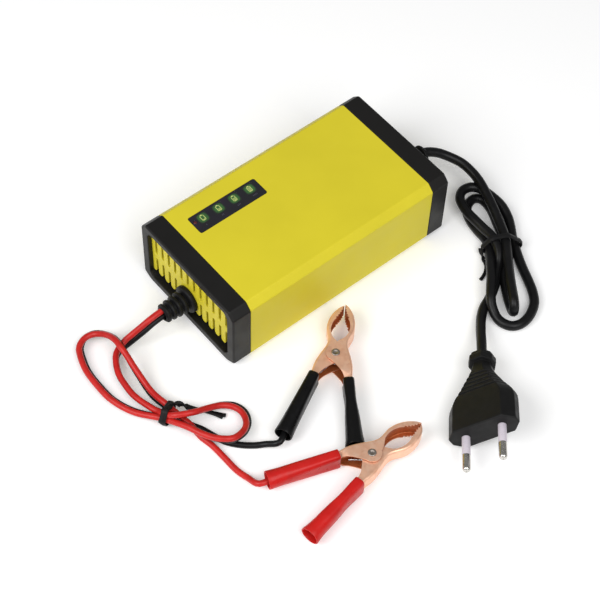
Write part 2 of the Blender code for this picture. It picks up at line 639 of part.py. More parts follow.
def make_plug():
    """A flat two-pin plug: its body, and two pins with insulating sleeves."""
    place = plug_matrix()
    sections = [(16.9, 6.4, 4.6, 0.0), (17.6, 6.85, 4.7, 0.8), (17.4, 6.85, 4.7, 15.0),
                (15.2, 6.7, 4.4, 20.0), (9.6, 6.0, 3.4, 28.0), (6.0, 5.2, 2.8, 34.0),
                (4.7, 4.7, 2.3, 37.5), (4.5, 4.5, 2.3, 39.5), (6.4, 6.4, 3.2, 39.7),
                (6.4, 6.4, 3.2, 44.4), (5.6, 5.6, 2.8, PLUG_CORD_END)]
    body = make_object("plug_body", loft([plug_section(*s) for s in sections]), PLUG_BLACK, place)
    holes = []
    for x in (-PIN_SPACING / 2, PIN_SPACING / 2):
        hole = along_y(rod(PIN_RADIUS + GAP, 0, 5.0), x, 3.0, 0, -1)
        holes.append(moved(hole, place))
    boolean(body, "DIFFERENCE", holes)
    core = PIN_RADIUS - 0.6
    pin = [(core, -2.6), (core, PIN_SLEEVE_LENGTH), (PIN_RADIUS, PIN_SLEEVE_LENGTH + 0.2),
           (PIN_RADIUS, PIN_LENGTH - 1.2), (PIN_RADIUS - 0.5, PIN_LENGTH - 0.3),
           (PIN_RADIUS - 1.1, PIN_LENGTH)]
    bore = core + 0.2
    sleeve = [(PIN_RADIUS, -2.0), (PIN_RADIUS, PIN_SLEEVE_LENGTH - 0.3),
              (bore, PIN_SLEEVE_LENGTH - 0.3), (bore, -2.0)]
    for i, x in enumerate((-PIN_SPACING / 2, PIN_SPACING / 2)):
        make_object(f"plug_pin_{i + 1}", along_y(turned(pin, 12), x, 0, 0, -1), NICKEL, place)
        shape = along_y(turned(sleeve, 12, closed=True), x, 0, 0, -1)
        make_object(f"pin_sleeve_{i + 1}", shape, PIN_WHITE, place)


# ---------------------------------------------------------------- battery clamps

HALF_OUTER = ((28.5, 0.2), (27.6, 2.0), (25.6, 3.8), (22.6, 5.5), (18.6, 6.6), (14.5, 6.7),
              (11.0, 5.7), (8.5, 5.0), (6.0, 5.0), (3.0, 5.9), (-1.0, 7.6), (-6.0, 9.2),
              (-12.0, 10.0))
JAW_EDGE = ((20.6, 2.9), (18.6, 4.0), (14.6, 4.6), (10.2, 3.4), (7.0, 0.2))
ARCH = ((-5.6, 0.2), (-7.4, 2.4), (-9.6, 4.6), (-12.2, 6.2))
TEETH = 4
LOBE_RADIUS = 4.6
HANDLE_WIDTH = 3.4


def half_outline():
    """A clamp half in plan, from its jaw tip along the outer edge and back along the inner one."""
    end_u, end_v = HANDLE_END
    points = list(HALF_OUTER)
    points += [(end_u, end_v + HANDLE_WIDTH / 2), (end_u, end_v - HANDLE_WIDTH / 2)]
    points += list(ARCH[::-1])
    for angle in range(200, 341, 28):
        a = math.radians(angle)
        points.append((LOBE_RADIUS * math.cos(a), LOBE_RADIUS * math.sin(a)))
    points += list(JAW_EDGE[::-1])
    tip, root = Vector((28.2, 0.2)), Vector((21.2, 2.8))
    bow = Vector((0.35, 0.9)) * 0.9
    for i in range(TEETH):
        for t, depth in ((i / TEETH, 0.6), ((i + 0.5) / TEETH, 0.0)):
            sag = 4 * t * (1 - t) * 0.5
            point = root.lerp(tip, t) - bow * sag
            points.append((point.x, max(point.y + depth, 0.2)))
    return points


def web_cut_outline():
    """The space between the flanges: the outer edge moved in by the sheet, and open inwards."""
    points = []
    outer = [Vector(p) for p in HALF_OUTER] + [Vector((HANDLE_END[0] - 2, HANDLE_END[1] + 2.2))]
    for i, point in enumerate(outer):
        run = outer[min(i + 1, len(outer) - 1)] - outer[max(i - 1, 0)]
        inward = Vector((-run.y, run.x)).normalized()
        points.append(point + inward * CLAMP_SHEET)
    points[0] = Vector((27.3, 0.2))
    return [tuple(p) for p in points] + [(HANDLE_END[0] - 2, -12.0), (27.3, -12.0)]


def tapered(shape, sheet):
    """Narrows a half's height towards the end of its handle, by the stations of TAPER."""
    for u, _ in TAPER[:2]:
        geometry = shape.verts[:] + shape.edges[:] + shape.faces[:]
        bmesh.ops.bisect_plane(shape, geom=geometry, plane_co=(u, 0, 0), plane_no=(1, 0, 0))
    for vertex in shape.verts:
        for (u0, h0), (u1, h1) in zip(TAPER, TAPER[1:]):
            if u1 - 0.01 <= vertex.co.x <= u0 + 0.01:
                share = (vertex.co.x - u0) / (u1 - u0)
                limit = h0 + (h1 - h0) * share - sheet
                vertex.co.z = max(-limit, min(limit, vertex.co.z))
    return shape


def make_half(name, height, matrix, side, look):
    """A channel-shaped half. side is 1 for the +v half and -1 for its mirror image."""
    mirror = Matrix.Diagonal((1, side, 1, 1))
    shape = tapered(extrude_z(half_outline(), -height / 2, height / 2), 0.0)
    half = make_object(name, moved(shape, mirror), look, matrix)
    inner = height / 2 - CLAMP_SHEET
    cut = tapered(extrude_z(web_cut_outline(), -inner, inner), CLAMP_SHEET)
    cut = moved(cut, mirror)
    hole = rod(RIVET_RADIUS + GAP, -height, height)
    boolean(half, "DIFFERENCE", [moved(cut, matrix), moved(hole, matrix)])
    return half


def sleeve_ring(t, thinner):
    """The section of a sleeve at t along it: tall and flat at the jaws, round at the open end."""
    flat, tall = 2.9 + 1.9 * t - thinner, 5.7 - 0.9 * t - thinner
    power = 2.0 / (4.0 - 2.0 * t)
    centre = Vector(SLEEVE_START).lerp(Vector(SLEEVE_END), t)
    run = (Vector(SLEEVE_END) - Vector(SLEEVE_START)).normalized()
    across = Vector((-run.y, run.x))
    points = []
    for i in range(20):
        a = 2 * math.pi * (i + 0.5) / 20
        c, s = math.cos(a), math.sin(a)
        wide = math.copysign(abs(c) ** power, c) * flat
        high = math.copysign(abs(s) ** power, s) * tall
        place = centre + across * wide
        points.append((place.x, place.y, high))
    return points


def make_sleeve(name, matrix, side, look):
    stations = (0.0, 0.25, 0.6, 1.0)
    rings = [sleeve_ring(t, 0.0) for t in stations]
    rings += [sleeve_ring(t, 0.6) for t in stations[::-1]]
    shape = moved(loft(rings, closed=True), Matrix.Diagonal((1, side, 1, 1)))
    make_object(name, shape, look, matrix)


def make_rivet(name, matrix):
    head = CLAMP_HEIGHT / 2 + GAP
    profile = [(2.1, -head - 0.7), (2.1, -head), (RIVET_RADIUS, -head), (RIVET_RADIUS, head),
               (2.1, head), (1.7, head + 0.6)]
    make_object(name, turned(profile, 14), STEEL, matrix)


def make_spring(name, matrix):
    """A torsion spring round the rivet, with a leg along each handle."""
    radius, wire, turns, pitch = 2.2, 0.8, 3, 1.15
    low = -turns * pitch / 2
    points = [(-10.0, 7.9, low)]
    start, sweep = math.radians(120), 2 * math.pi * turns + math.radians(120)
    count = 12 * turns + 4
    for i in range(count + 1):
        a = start - math.pi + sweep * i / count - math.radians(150)
        points.append((radius * math.cos(a), radius * math.sin(a), low + turns * pitch * i / count))
    points.append((-10.0, -7.9, -low))
    curve = bpy.data.curves.new(name, "CURVE")
    curve.dimensions = "3D"
    curve.bevel_depth = wire / 2 * MM
    curve.bevel_resolution = 1
    curve.use_fill_caps = True
    spline = curve.splines.new("POLY")
    spline.points.add(len(points) - 1)
    for target, point in zip(spline.points, points):
        target.co = (*(Vector(point) * MM), 1.0)
    curve.materials.append(STEEL)
    spring = bpy.data.objects.new(name, curve)
    spring.location = matrix.translation * MM
    spring.rotation_euler = matrix.to_euler()
    bpy.context.scene.collection.objects.link(spring)


def make_clamp(colour, clamp, fixed_height, moving_height, look):
    """A clamp: the wired half is fixed to the lead, the other turns on the rivet."""
    matrix = Matrix.Translation((clamp[0], clamp[1], CLAMP_MID_Z))
    matrix = matrix @ Matrix.Rotation(math.radians(clamp[2]), 4, "Z")
    make_half(f"{colour}_clamp_fixed_half", fixed_height, matrix, 1, COPPER)
    make_half(f"{colour}_clamp_moving_half", moving_height, matrix, -1, COPPER)
    make_sleeve(f"{colour}_clamp_fixed_sleeve", matrix, 1, look)
    make_sleeve(f"{colour}_clamp_moving_sleeve", matrix, -1, look)
    make_rivet(f"{colour}_clamp_rivet", matrix)
    make_spring(f"{colour}_clamp_spring", matrix)


# ---------------------------------------------------------------- the model

for leftover in list(bpy.data.objects):
    bpy.data.objects.remove(leftover, do_unlink=True)

CUTTER = material("cutter", (0.5, 0.5, 0.5), 0.5)
YELLOW = material("yellow_plastic", (0.68, 0.57, 0.04), 0.38)
BLACK_CASE = material("black_plastic", (0.018, 0.018, 0.02), 0.42)
LENS = material("dark_lens", (0.01, 0.01, 0.014), 0.12)
GREEN = material("green_window", (0.02, 0.25, 0.08), 0.3)
RED_LAMP = material("red_lamp", (0.35, 0.01, 0.01), 0.3)
CORD_BLACK = material("cord_black", (0.012, 0.012, 0.013), 0.48)
WIRE_RED = material("wire_red", (0.55, 0.02, 0.02), 0.4)
SLEEVE_RED = material("sleeve_red", (0.66, 0.02, 0.025), 0.4)
SLEEVE_BLACK = material("sleeve_black", (0.012, 0.012, 0.013), 0.4)
PLUG_BLACK = material("plug_black", (0.014, 0.014, 0.015), 0.5)
PIN_WHITE = material("pin_white", (0.6, 0.55, 0.6), 0.4)
NICKEL = material("nickel", (0.6, 0.58, 0.55), 0.2, 1.0)
COPPER = material("copper_plate", (0.85, 0.5, 0.35), 0.32, 1.0)
STEEL = material("steel", (0.5, 0.5, 0.5), 0.3, 1.0)
BOARD = material("circuit_board", (0.02, 0.12, 0.05), 0.5)
CAPACITOR = material("capacitor_sleeve", (0.02, 0.02, 0.05), 0.4)
BLACK_RESIN = material("black_resin", (0.02, 0.02, 0.02), 0.6)
CERAMIC = material("fuse_ceramic", (0.7, 0.7, 0.66), 0.4)
COPPER_WIRE = material("copper_wire", (0.55, 0.2, 0.06), 0.3, 1.0)
FERRITE = material("ferrite", (0.05, 0.05, 0.055), 0.6)
WINDING = material("winding_tape", (0.6, 0.45, 0.05), 0.5)
ALUMINIUM = material("aluminium", (0.6, 0.6, 0.62), 0.35, 1.0)

make_case_sleeve()
make_bezel("front_bezel", -1)
make_bezel("rear_bezel", 1)
make_grille("front_grille", -1, *OUTPUT_RELIEF)
make_grille("rear_grille", 1, *MAINS_RELIEF)
make_case_screws()
make_display()
make_electronics()
make_strain_relief("output_strain_relief", *OUTPUT_RELIEF, -1, 3.3)
make_strain_relief("mains_strain_relief", *MAINS_RELIEF, 1, 2.9)
make_cords()
make_ties()
make_plug()
make_clamp("black", BLACK_CLAMP, INNER_HALF_HEIGHT, CLAMP_HEIGHT, SLEEVE_BLACK)
make_clamp("red", RED_CLAMP, CLAMP_HEIGHT, INNER_HALF_HEIGHT, SLEEVE_RED)
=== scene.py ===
"""The looks of a 12 V car battery charger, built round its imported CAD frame.

The shapes are worked out in millimetres in the CAD's own frame: X across the case, Y along it from
the output end to the mains end, +Z up. `mesh_of` turns them into metres. Places come from the
frame's boxes and joints, and each cord follows its CAD route.
"""

import json
import math

import bmesh
import bpy
from mathutils import Matrix, Vector


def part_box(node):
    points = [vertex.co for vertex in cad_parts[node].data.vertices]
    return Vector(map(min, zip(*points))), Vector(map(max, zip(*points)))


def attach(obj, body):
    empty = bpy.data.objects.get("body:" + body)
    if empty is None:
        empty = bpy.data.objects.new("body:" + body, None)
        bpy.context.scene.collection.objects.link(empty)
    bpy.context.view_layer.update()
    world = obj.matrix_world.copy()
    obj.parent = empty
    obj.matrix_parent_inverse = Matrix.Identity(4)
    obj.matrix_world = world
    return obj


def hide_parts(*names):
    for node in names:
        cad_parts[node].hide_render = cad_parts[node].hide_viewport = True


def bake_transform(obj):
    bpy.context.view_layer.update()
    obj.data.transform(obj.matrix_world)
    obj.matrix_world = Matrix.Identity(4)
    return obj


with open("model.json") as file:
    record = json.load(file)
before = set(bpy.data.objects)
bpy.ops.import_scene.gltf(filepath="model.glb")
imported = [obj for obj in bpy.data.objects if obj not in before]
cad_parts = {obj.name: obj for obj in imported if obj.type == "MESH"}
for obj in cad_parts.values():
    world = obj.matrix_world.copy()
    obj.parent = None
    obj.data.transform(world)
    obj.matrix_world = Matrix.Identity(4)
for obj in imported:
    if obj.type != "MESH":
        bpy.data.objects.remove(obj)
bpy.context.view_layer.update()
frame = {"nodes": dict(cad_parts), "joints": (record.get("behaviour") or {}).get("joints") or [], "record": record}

MM = 0.001


def node_box(node):
    """A CAD node's lowest and highest corner, in millimetres."""
    low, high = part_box(node)
    return low / MM, high / MM


def node_middle(node):
    low, high = node_box(node)
    return (low + high) / 2


# ---------------------------------------------------------------- driving sizes

SLEEVE_HIGH = node_box("case_sleeve")[1]
CASE_HALF = SLEEVE_HIGH.x
CASE_TOP = SLEEVE_HIGH.z
CASE_END = node_box("rear_bezel")[1].y
SLEEVE_END_Y = SLEEVE_HIGH.y
# The case's corners are cut by this much both ways at the top, and by (across, up) at the bottom.
TOP_CHAMFER = 3.7
BOTTOM_CHAMFER = (5.3, 2.8)
WALL = 2.0

# The window in each bezel, as its half width, sill and head, and the grille that fills it.
WINDOW = (31.0, 4.5, 38.0)
WINDOW_CHAMFER = 2.5
GRILLE_RECESS = 2.5
GRILLE_THICKNESS = 2.0
FINGER_PITCH = 5.0
SLOT_WIDTH = 1.7
FINGER_TIP_Z = 7.3
LOWER_SLOT_TOP = 18.5
UPPER_SLOT = (22.5, 33.5)

# Where each strain relief's axis crosses the grilles, as (x, z), and where its tip ends in y.
RELIEF_AXES = {node: tuple(node_middle(node).xz)
               for node in ("output_strain_relief", "mains_strain_relief")}
RELIEF_END = node_box("mains_strain_relief")[1].y

# The cords, how far apart the twin wires run, and a wire's middle where it lies on the floor.
MAINS_CORD_DIAMETER = 5.0
WIRE_DIAMETER = 3.1
WIRE_PITCH = 3.1
WIRE_FLOOR_Z = 1.45

# The outer and the inner half's height, and which way each clamp's jaws point, from +X. The ends
# of a handle and of its grip are (u, v) in clamp_matrix's axes.
CLAMP_HEIGHT = 10.0
INNER_HALF_HEIGHT = 7.8
CLAMP_HEADINGS = {"black": 130.7, "red": 85.1}
HANDLE_END = (-40.5, 15.3)
GRIP_START = (-12.5, 8.2)
GRIP_END = (-46.5, 17.0)

# Where the middle of the plug's face is, how the plug lies in degrees, and its pins.
PLUG_FACE = (142.7, -5.0, 15.0)
PLUG_HEADING = -42.6
PLUG_PITCH = 7.0
PLUG_ROLL = 36.0
PLUG_CORD_END = 45.5
PIN_PLACES = (-9.5, 9.5)
PIN_RADIUS = 2.0
PIN_LENGTH = 19.0
PIN_SLEEVE_LENGTH = 10.0


# ---------------------------------------------------------------- camera, lights and floor

# Places in metres, angles in degrees, and the lens and sensor in millimetres.
CAMERA_PLACE = (0.3815, -0.3315, 0.6766)
CAMERA_AZIMUTH = 48.6087
CAMERA_ELEVATION = 54.9229
CAMERA_ROLL = 2.4441
CAMERA_LENS = 100.34
SENSOR_WIDTH = 36.0
SURROUND_STRENGTH = 0.27
LIGHT_TARGET = (0.05, -0.02, 0.0)
# Each light's azimuth (0 stands at -Y, 90 at +X), elevation, distance, size and watts.
LIGHTS = {"key_light": (80.0, 52.0, 1.2, 0.8, 8.3), "fill_light": (-4.0, 44.0, 1.3, 0.8, 11.0)}
FLOOR_SIZE = 6000.0
FLOOR_DROP = 0.1
FLOOR_WHITE = (0.94, 0.94, 0.94)
FLOOR_GLOW = 0.14


def added(name, data):
    """A new object in the scene."""
    made = bpy.data.objects.new(name, data)
    bpy.context.scene.collection.objects.link(made)
    return made


def rotation(degrees, axis):
    return Matrix.Rotation(math.radians(degrees), 4, axis)


def make_camera():
    data = bpy.data.cameras.new("camera")
    data.lens = CAMERA_LENS
    data.sensor_width = SENSOR_WIDTH
    data.clip_start, data.clip_end = 0.01, 20.0
    camera = added("camera", data)
    turn = (rotation(CAMERA_AZIMUTH, "Z") @ rotation(90.0 - CAMERA_ELEVATION, "X")
            @ rotation(CAMERA_ROLL, "Z"))
    camera.matrix_world = Matrix.Translation(CAMERA_PLACE) @ turn
    bpy.context.scene.camera = camera


def make_light(name, azimuth, elevation, distance, size, watts):
    """A square soft light aimed at the object's middle."""
    data = bpy.data.lights.new(name, "AREA")
    data.shape = "SQUARE"
    data.size = size
    data.energy = watts
    light = added(name, data)
    a, e = math.radians(azimuth), math.radians(elevation)
    back = Vector((math.sin(a) * math.cos(e), -math.cos(a) * math.cos(e), math.sin(e)))
    light.location = Vector(LIGHT_TARGET) + back * distance
    light.rotation_euler = (-back).to_track_quat("-Z", "Y").to_euler()


def make_stage():
    """Soft studio light, a white surround and a plain white floor."""
    world = bpy.data.worlds.new("studio")
    world.use_nodes = True
    background = world.node_tree.nodes["Background"]
    background.inputs["Color"].default_value = (1.0, 1.0, 1.0, 1.0)
    background.inputs["Strength"].default_value = SURROUND_STRENGTH
    bpy.context.scene.world = world
    bpy.context.scene.view_settings.view_transform = "Standard"
    for name, settings in LIGHTS.items():
        make_light(name, *settings)
    shape = bmesh.new()
    bmesh.ops.create_grid(shape, x_segments=1, y_segments=1, size=FLOOR_SIZE)
    floor = solid("floor", shape)
    floor.location.z = -FLOOR_DROP * MM
    look = Surface("floor_white", FLOOR_WHITE, 0.9, Specular_IOR_Level=0.1, Emission_Strength=FLOOR_GLOW,
                   Emission_Color=(1.0, 1.0, 1.0, 1.0))
    floor.data.materials.append(look.material)


# ---------------------------------------------------------------- materials


class Surface:
    """A Principled material whose patterns are laid out in the object's own millimetres."""

    def __init__(self, name, colour, roughness, metallic=0.0, **constants):
        self.material = bpy.data.materials.new(name)
        self.material.use_nodes = True
        self.material.diffuse_color = (*colour, 1.0)
        self.tree = self.material.node_tree
        self.shader = self.tree.nodes["Principled BSDF"]
        self.colour = colour
        self.set("Base Color", (*colour, 1.0))
        self.set("Roughness", roughness)
        self.set("Metallic", metallic)
        for socket, value in constants.items():
            self.set(socket.replace("_", " "), value)
        self.place = self.node("ShaderNodeTexCoord").outputs["Object"]
        self.bumped = None

    def node(self, kind, **settings):
        made = self.tree.nodes.new(kind)
        for name, value in settings.items():
            setattr(made, name, value)
        return made

    def link(self, output, socket):
        self.tree.links.new(output, socket)

    def set(self, socket, value):
        self.shader.inputs[socket].default_value = value

    def noise(self, size, detail=2.0, stretch=(1.0, 1.0, 1.0), distortion=0.0):
        """Noise with features about size millimetres across, drawn out along the stretched axes."""
        mapping = self.node("ShaderNodeMapping")
        mapping.inputs["Scale"].default_value = tuple(1.0 / s for s in stretch)
        self.link(self.place, mapping.inputs["Vector"])
        made = self.node("ShaderNodeTexNoise")
        made.inputs["Scale"].default_value = 1.0 / (size * MM)
        made.inputs["Detail"].default_value = detail
        made.inputs["Distortion"].default_value = distortion
        self.link(mapping.outputs["Vector"], made.inputs["Vector"])
        return made.outputs["Fac"]

    def mapped(self, value, low, high, to_low, to_high, smooth=False):
        made = self.node("ShaderNodeMapRange")
        if smooth:
            made.interpolation_type = "SMOOTHSTEP"
        for socket, number in zip(("From Min", "From Max", "To Min", "To Max"),
                                  (low, high, to_low, to_high)):
            made.inputs[socket].default_value = number
        self.link(value, made.inputs["Value"])
        return made.outputs["Result"]

    def math(self, operation, a, b):
        made = self.node("ShaderNodeMath", operation=operation)
        for value, socket in ((a, made.inputs[0]), (b, made.inputs[1])):
            if isinstance(value, (int, float)):
                socket.default_value = value
            else:
                self.link(value, socket)
        return made.outputs["Value"]

    def tinted(self, share, other):
        """Mixes another colour in by share, over what the base colour is now."""
        mix = self.node("ShaderNodeMix", data_type="RGBA")
        self.link(share, mix.inputs["Factor"])
        base = self.shader.inputs["Base Color"]
        if base.is_linked:
            self.link(base.links[0].from_socket, mix.inputs["A"])
        else:
            mix.inputs["A"].default_value = tuple(base.default_value)
        mix.inputs["B"].default_value = (*other, 1.0)
        self.link(mix.outputs["Result"], base)
        return self

    def varied(self, size, amount, detail=2.0):
        """Makes the colour a little lighter and darker in patches."""
        patches = self.noise(size, detail)
        darker = tuple(c * (1.0 - amount) for c in self.colour)
        lighter = tuple(min(1.0, c * (1.0 + amount)) for c in self.colour)
        self.tinted(self.mapped(patches, 0.50, 0.70, 0.0, 1.0), lighter)
        return self.tinted(self.mapped(patches, 0.50, 0.30, 0.0, 1.0), darker)

    def worn(self, low, high, size, detail=3.0):
        """Varies the roughness from low to high in patches."""
        patches = self.noise(size, detail)
        self.link(self.mapped(patches, 0.3, 0.7, low, high), self.shader.inputs["Roughness"])
        return self

    def bumps(self, height, depth):
        """Adds a relief of depth millimetres from a height between 0 and 1."""
        made = self.node("ShaderNodeBump")
        made.inputs["Strength"].default_value = 1.0
        made.inputs["Distance"].default_value = depth * MM
        self.link(height, made.inputs["Height"])
        if self.bumped:
            self.link(self.bumped, made.inputs["Normal"])
        self.bumped = made.outputs["Normal"]
        self.link(self.bumped, self.shader.inputs["Normal"])
        return self

    def edges(self, radius):
        """A mask that is 1 along outer and inner edges within radius millimetres of them."""
        bevel = self.node("ShaderNodeBevel", samples=4)
        bevel.inputs["Radius"].default_value = radius * MM
        dot = self.node("ShaderNodeVectorMath", operation="DOT_PRODUCT")
        self.link(bevel.outputs["Normal"], dot.inputs[0])
        self.link(self.node("ShaderNodeNewGeometry").outputs["Normal"], dot.inputs[1])
        return self.mapped(dot.outputs["Value"], 0.98, 0.80, 0.0, 1.0)


# Each look's colour, roughness, specular level and metallic value, its colour patches as (size,
# share, detail), its roughness patches as (low, high, size, detail), and its relief as (size of
# the features, detail, depth). Sizes and depths are in millimetres.
BASIC_LOOKS = {
    "case_yellow": ((0.65, 0.557, 0.027), 0.44, 0.2, 0.0, (35.0, 0.035, 3.0), (0.39, 0.51, 9.0, 5.0),
                    [(30.0, 1.0, 0.05), (0.35, 2.0, 0.006)]),
    "case_black": ((0.009, 0.0085, 0.008), 0.46, 0.22, 0.0, (35.0, 0.035, 3.0), (0.41, 0.53, 9.0, 5.0),
                   [(30.0, 1.0, 0.05), (0.35, 2.0, 0.010)]),
    "display_dark": ((0.006, 0.006, 0.010), 0.13, 0.5, 0.0, None, (0.08, 0.2, 5.0, 4.0),
                     [(0.8, 2.0, 0.002)]),
    "charge_mark": ((0.42, 0.50, 0.16), 0.4, 0.5, 0.0, (0.8, 0.15), None, []),
    "display_tick": ((0.06, 0.055, 0.08), 0.35, 0.5, 0.0, (0.6, 0.2), None, []),
    "lamp_red": ((0.09, 0.012, 0.014), 0.2, 0.5, 0.0, (0.8, 0.2), None, [(0.3, 2.0, 0.01)]),
    "rubber_black": ((0.006, 0.006, 0.0065), 0.48, 0.2, 0.0, (3.0, 0.25, 3.0), (0.42, 0.62, 2.0, 4.0),
                     [(0.25, 3.0, 0.012)]),
    "cord_black": ((0.005, 0.005, 0.0055), 0.38, 0.22, 0.0, (5.0, 0.2, 3.0), (0.30, 0.46, 2.5, 4.0),
                   [(4.0, 2.0, 0.06), (0.3, 2.0, 0.008)]),
    "wire_red": ((0.50, 0.017, 0.014), 0.34, 0.3, 0.0, (4.0, 0.10, 3.0), (0.28, 0.44, 2.0, 4.0),
                 [(2.5, 2.0, 0.04), (0.25, 2.0, 0.006)]),
    "grip_red": ((0.50, 0.012, 0.010), 0.34, 0.22, 0.0, (7.0, 0.09, 3.0), (0.26, 0.42, 3.0, 4.0),
                 [(6.0, 2.0, 0.14), (0.5, 3.0, 0.012)]),
    "grip_black": ((0.003, 0.003, 0.0033), 0.34, 0.22, 0.0, (7.0, 0.09, 3.0), (0.26, 0.42, 3.0, 4.0),
                   [(6.0, 2.0, 0.14), (0.5, 3.0, 0.012)]),
    "plug_black": ((0.006, 0.006, 0.006), 0.46, 0.2, 0.0, (4.0, 0.2, 3.0), (0.40, 0.56, 3.0, 5.0),
                   [(0.4, 3.0, 0.016)]),
    "pin_metal": ((0.63, 0.61, 0.57), 0.2, 0.5, 1.0, (2.0, 0.1), (0.12, 0.3, 0.6, 4.0),
                  [(0.2, 2.0, 0.004)]),
    "pin_white": ((0.60, 0.55, 0.61), 0.42, 0.5, 0.0, None, (0.36, 0.52, 0.8, 3.0),
                  [(0.3, 2.0, 0.01)]),
}
METALS = {"steel": ((0.56, 0.56, 0.57), 0.28, 0.7), "dull_steel": ((0.34, 0.30, 0.27), 0.42, 0.5),
          "aluminium": ((0.62, 0.62, 0.64), 0.38, 1.2), "copper_wire": ((0.60, 0.24, 0.08), 0.3, 0.8)}
INNER_LOOKS = {"ferrite": ((0.045, 0.045, 0.05), 0.6), "resin_black": ((0.015, 0.015, 0.016), 0.55),
               "capacitor": ((0.012, 0.014, 0.045), 0.35), "winding": ((0.58, 0.42, 0.06), 0.45),
               "fuse_ceramic": ((0.66, 0.65, 0.60), 0.35)}


def make_basic(name, colour, roughness, specular, metallic, patches, wear, relief):
    look = Surface(name, colour, roughness, metallic, Specular_IOR_Level=specular)
    if patches:
        look.varied(*patches)
    if wear:
        look.worn(*wear)
    for size, detail, depth in relief:
        look.bumps(look.noise(size, detail), depth)
    return look


def make_materials():
    """Every look by name, as materials."""
    looks = {name: make_basic(name, *row) for name, row in BASIC_LOOKS.items()}
    for name, (colour, rough, size) in METALS.items():
        looks[name] = make_basic(name, colour, rough, 0.5, 1.0, (size * 3.0, 0.12, 4.0),
                                 (rough - 0.08, rough + 0.14, size, 5.0), [(size * 0.4, 3.0, 0.008)])
    for name, (colour, rough) in INNER_LOOKS.items():
        looks[name] = make_basic(name, colour, rough, 0.5, 0.0, (2.0, 0.15, 4.0),
                                 (rough - 0.06, rough + 0.1, 1.5, 4.0), [(0.4, 3.0, 0.02)])
    looks["display_green"] = make_glow()
    looks["circuit_board"] = make_board_look()
    looks["clamp_copper"] = make_copper("clamp_copper", (0.90, 0.53, 0.36), (0.97, 0.70, 0.54), 0.6)
    # The inside of each clamp's channel gets a darker, redder copper: painted shade.
    looks["copper_painted_shade"] = make_copper("copper_painted_shade", (0.46, 0.125, 0.035), (0.60, 0.22, 0.09), 0.5)
    add_wear(looks)
    return {name: look.material for name, look in looks.items()}


def add_wear(looks):
    """Scuffs, a painted sheen along the black plastic's edges, bloom and flecks, and the display's clear coats and
    glow.
    """
    yellow, black, lens, plug, white = (looks[name] for name in (
        "case_yellow", "case_black", "display_dark", "plug_black", "pin_white"))
    scuffs = yellow.noise(1.2, 4.0, (1.0, 14.0, 1.0), 0.4)
    yellow.tinted(yellow.mapped(scuffs, 0.70, 0.80, 0.0, 0.25), (0.74, 0.66, 0.09))
    # The black frames' edges are lighter in patches: a painted sheen.
    sheen_spots = black.mapped(black.noise(4.0, 4.0), 0.4, 0.6, 0.2, 1.0)
    black.tinted(black.math("MULTIPLY", black.edges(0.5), sheen_spots), (0.025, 0.025, 0.025))
    # The plug's edges are lighter: a painted sheen.
    plug.tinted(plug.mapped(plug.edges(0.4), 0.0, 1.0, 0.0, 0.6), (0.02, 0.02, 0.02))
    white.tinted(white.mapped(white.noise(0.35, 2.0), 0.5, 0.62, 0.0, 0.5), (0.42, 0.38, 0.44))
    for name, bloom in (("grip_red", (0.56, 0.024, 0.020)), ("grip_black", (0.006, 0.006, 0.0065))):
        grip = looks[name]
        grip.tinted(grip.mapped(grip.noise(5.0, 4.0), 0.55, 0.75, 0.0, 0.5), bloom)
    lens.tinted(lens.mapped(lens.noise(9.0, 3.0), 0.45, 0.65, 0.0, 1.0), (0.012, 0.007, 0.018))
    lens.set("Coat Weight", 0.6)
    lens.set("Coat Roughness", 0.06)
    looks["lamp_red"].set("Coat Weight", 0.4)
    looks["charge_mark"].set("Emission Color", (0.55, 0.62, 0.20, 1.0))
    looks["charge_mark"].set("Emission Strength", 0.12)


def make_glow():
    """A green charge window, bright in the middle and dark at its edges."""
    look = Surface("display_green", (0.010, 0.012, 0.012), 0.22, Coat_Weight=0.5, Coat_Roughness=0.08)
    spread = look.node("ShaderNodeSeparateXYZ")
    look.link(look.node("ShaderNodeTexCoord").outputs["Generated"], spread.inputs["Vector"])
    powers = []
    for axis in "XY":
        away = look.math("ABSOLUTE", look.math("SUBTRACT", spread.outputs[axis], 0.5), 0.0)
        powers.append(look.math("POWER", away, 3.0))
    away = look.math("POWER", look.math("ADD", *powers), 1.0 / 3.0)
    mask = look.mapped(away, 0.52, 0.30, 0.0, 1.0, smooth=True)
    flecks = look.mapped(look.noise(0.9, 3.0), 0.35, 0.65, 0.6, 1.0)
    mask = look.math("MULTIPLY", mask, flecks)
    look.tinted(mask, (0.035, 0.13, 0.028))
    look.set("Emission Color", (0.07, 0.20, 0.03, 1.0))
    look.link(look.mapped(mask, 0.0, 1.0, 0.0, 0.10), look.shader.inputs["Emission Strength"])
    look.bumps(look.noise(0.5, 2.0), 0.004)
    return look


def make_copper(name, colour, bright, metallic):
    """Copper-plated pressed steel: drawn streaks, faint tarnish and bright edges."""
    look = Surface(name, colour, 0.36, metallic)
    look.varied(6.0, 0.06, 4.0)
    streaks = look.noise(0.35, 3.0, (9.0, 9.0, 1.0))
    look.tinted(look.mapped(streaks, 0.5, 0.72, 0.0, 0.5), bright)
    tarnish = tuple(c * d for c, d in zip(colour, (0.78, 0.6, 0.5)))
    look.tinted(look.mapped(look.noise(3.5, 5.0), 0.50, 0.74, 0.0, 0.55), tarnish)
    look.tinted(look.mapped(look.edges(0.3), 0.0, 1.0, 0.0, 0.7), bright)
    look.worn(0.30, 0.46, 1.6, 5.0)
    look.bumps(streaks, 0.006)
    look.bumps(look.noise(2.5, 2.0), 0.02)
    return look


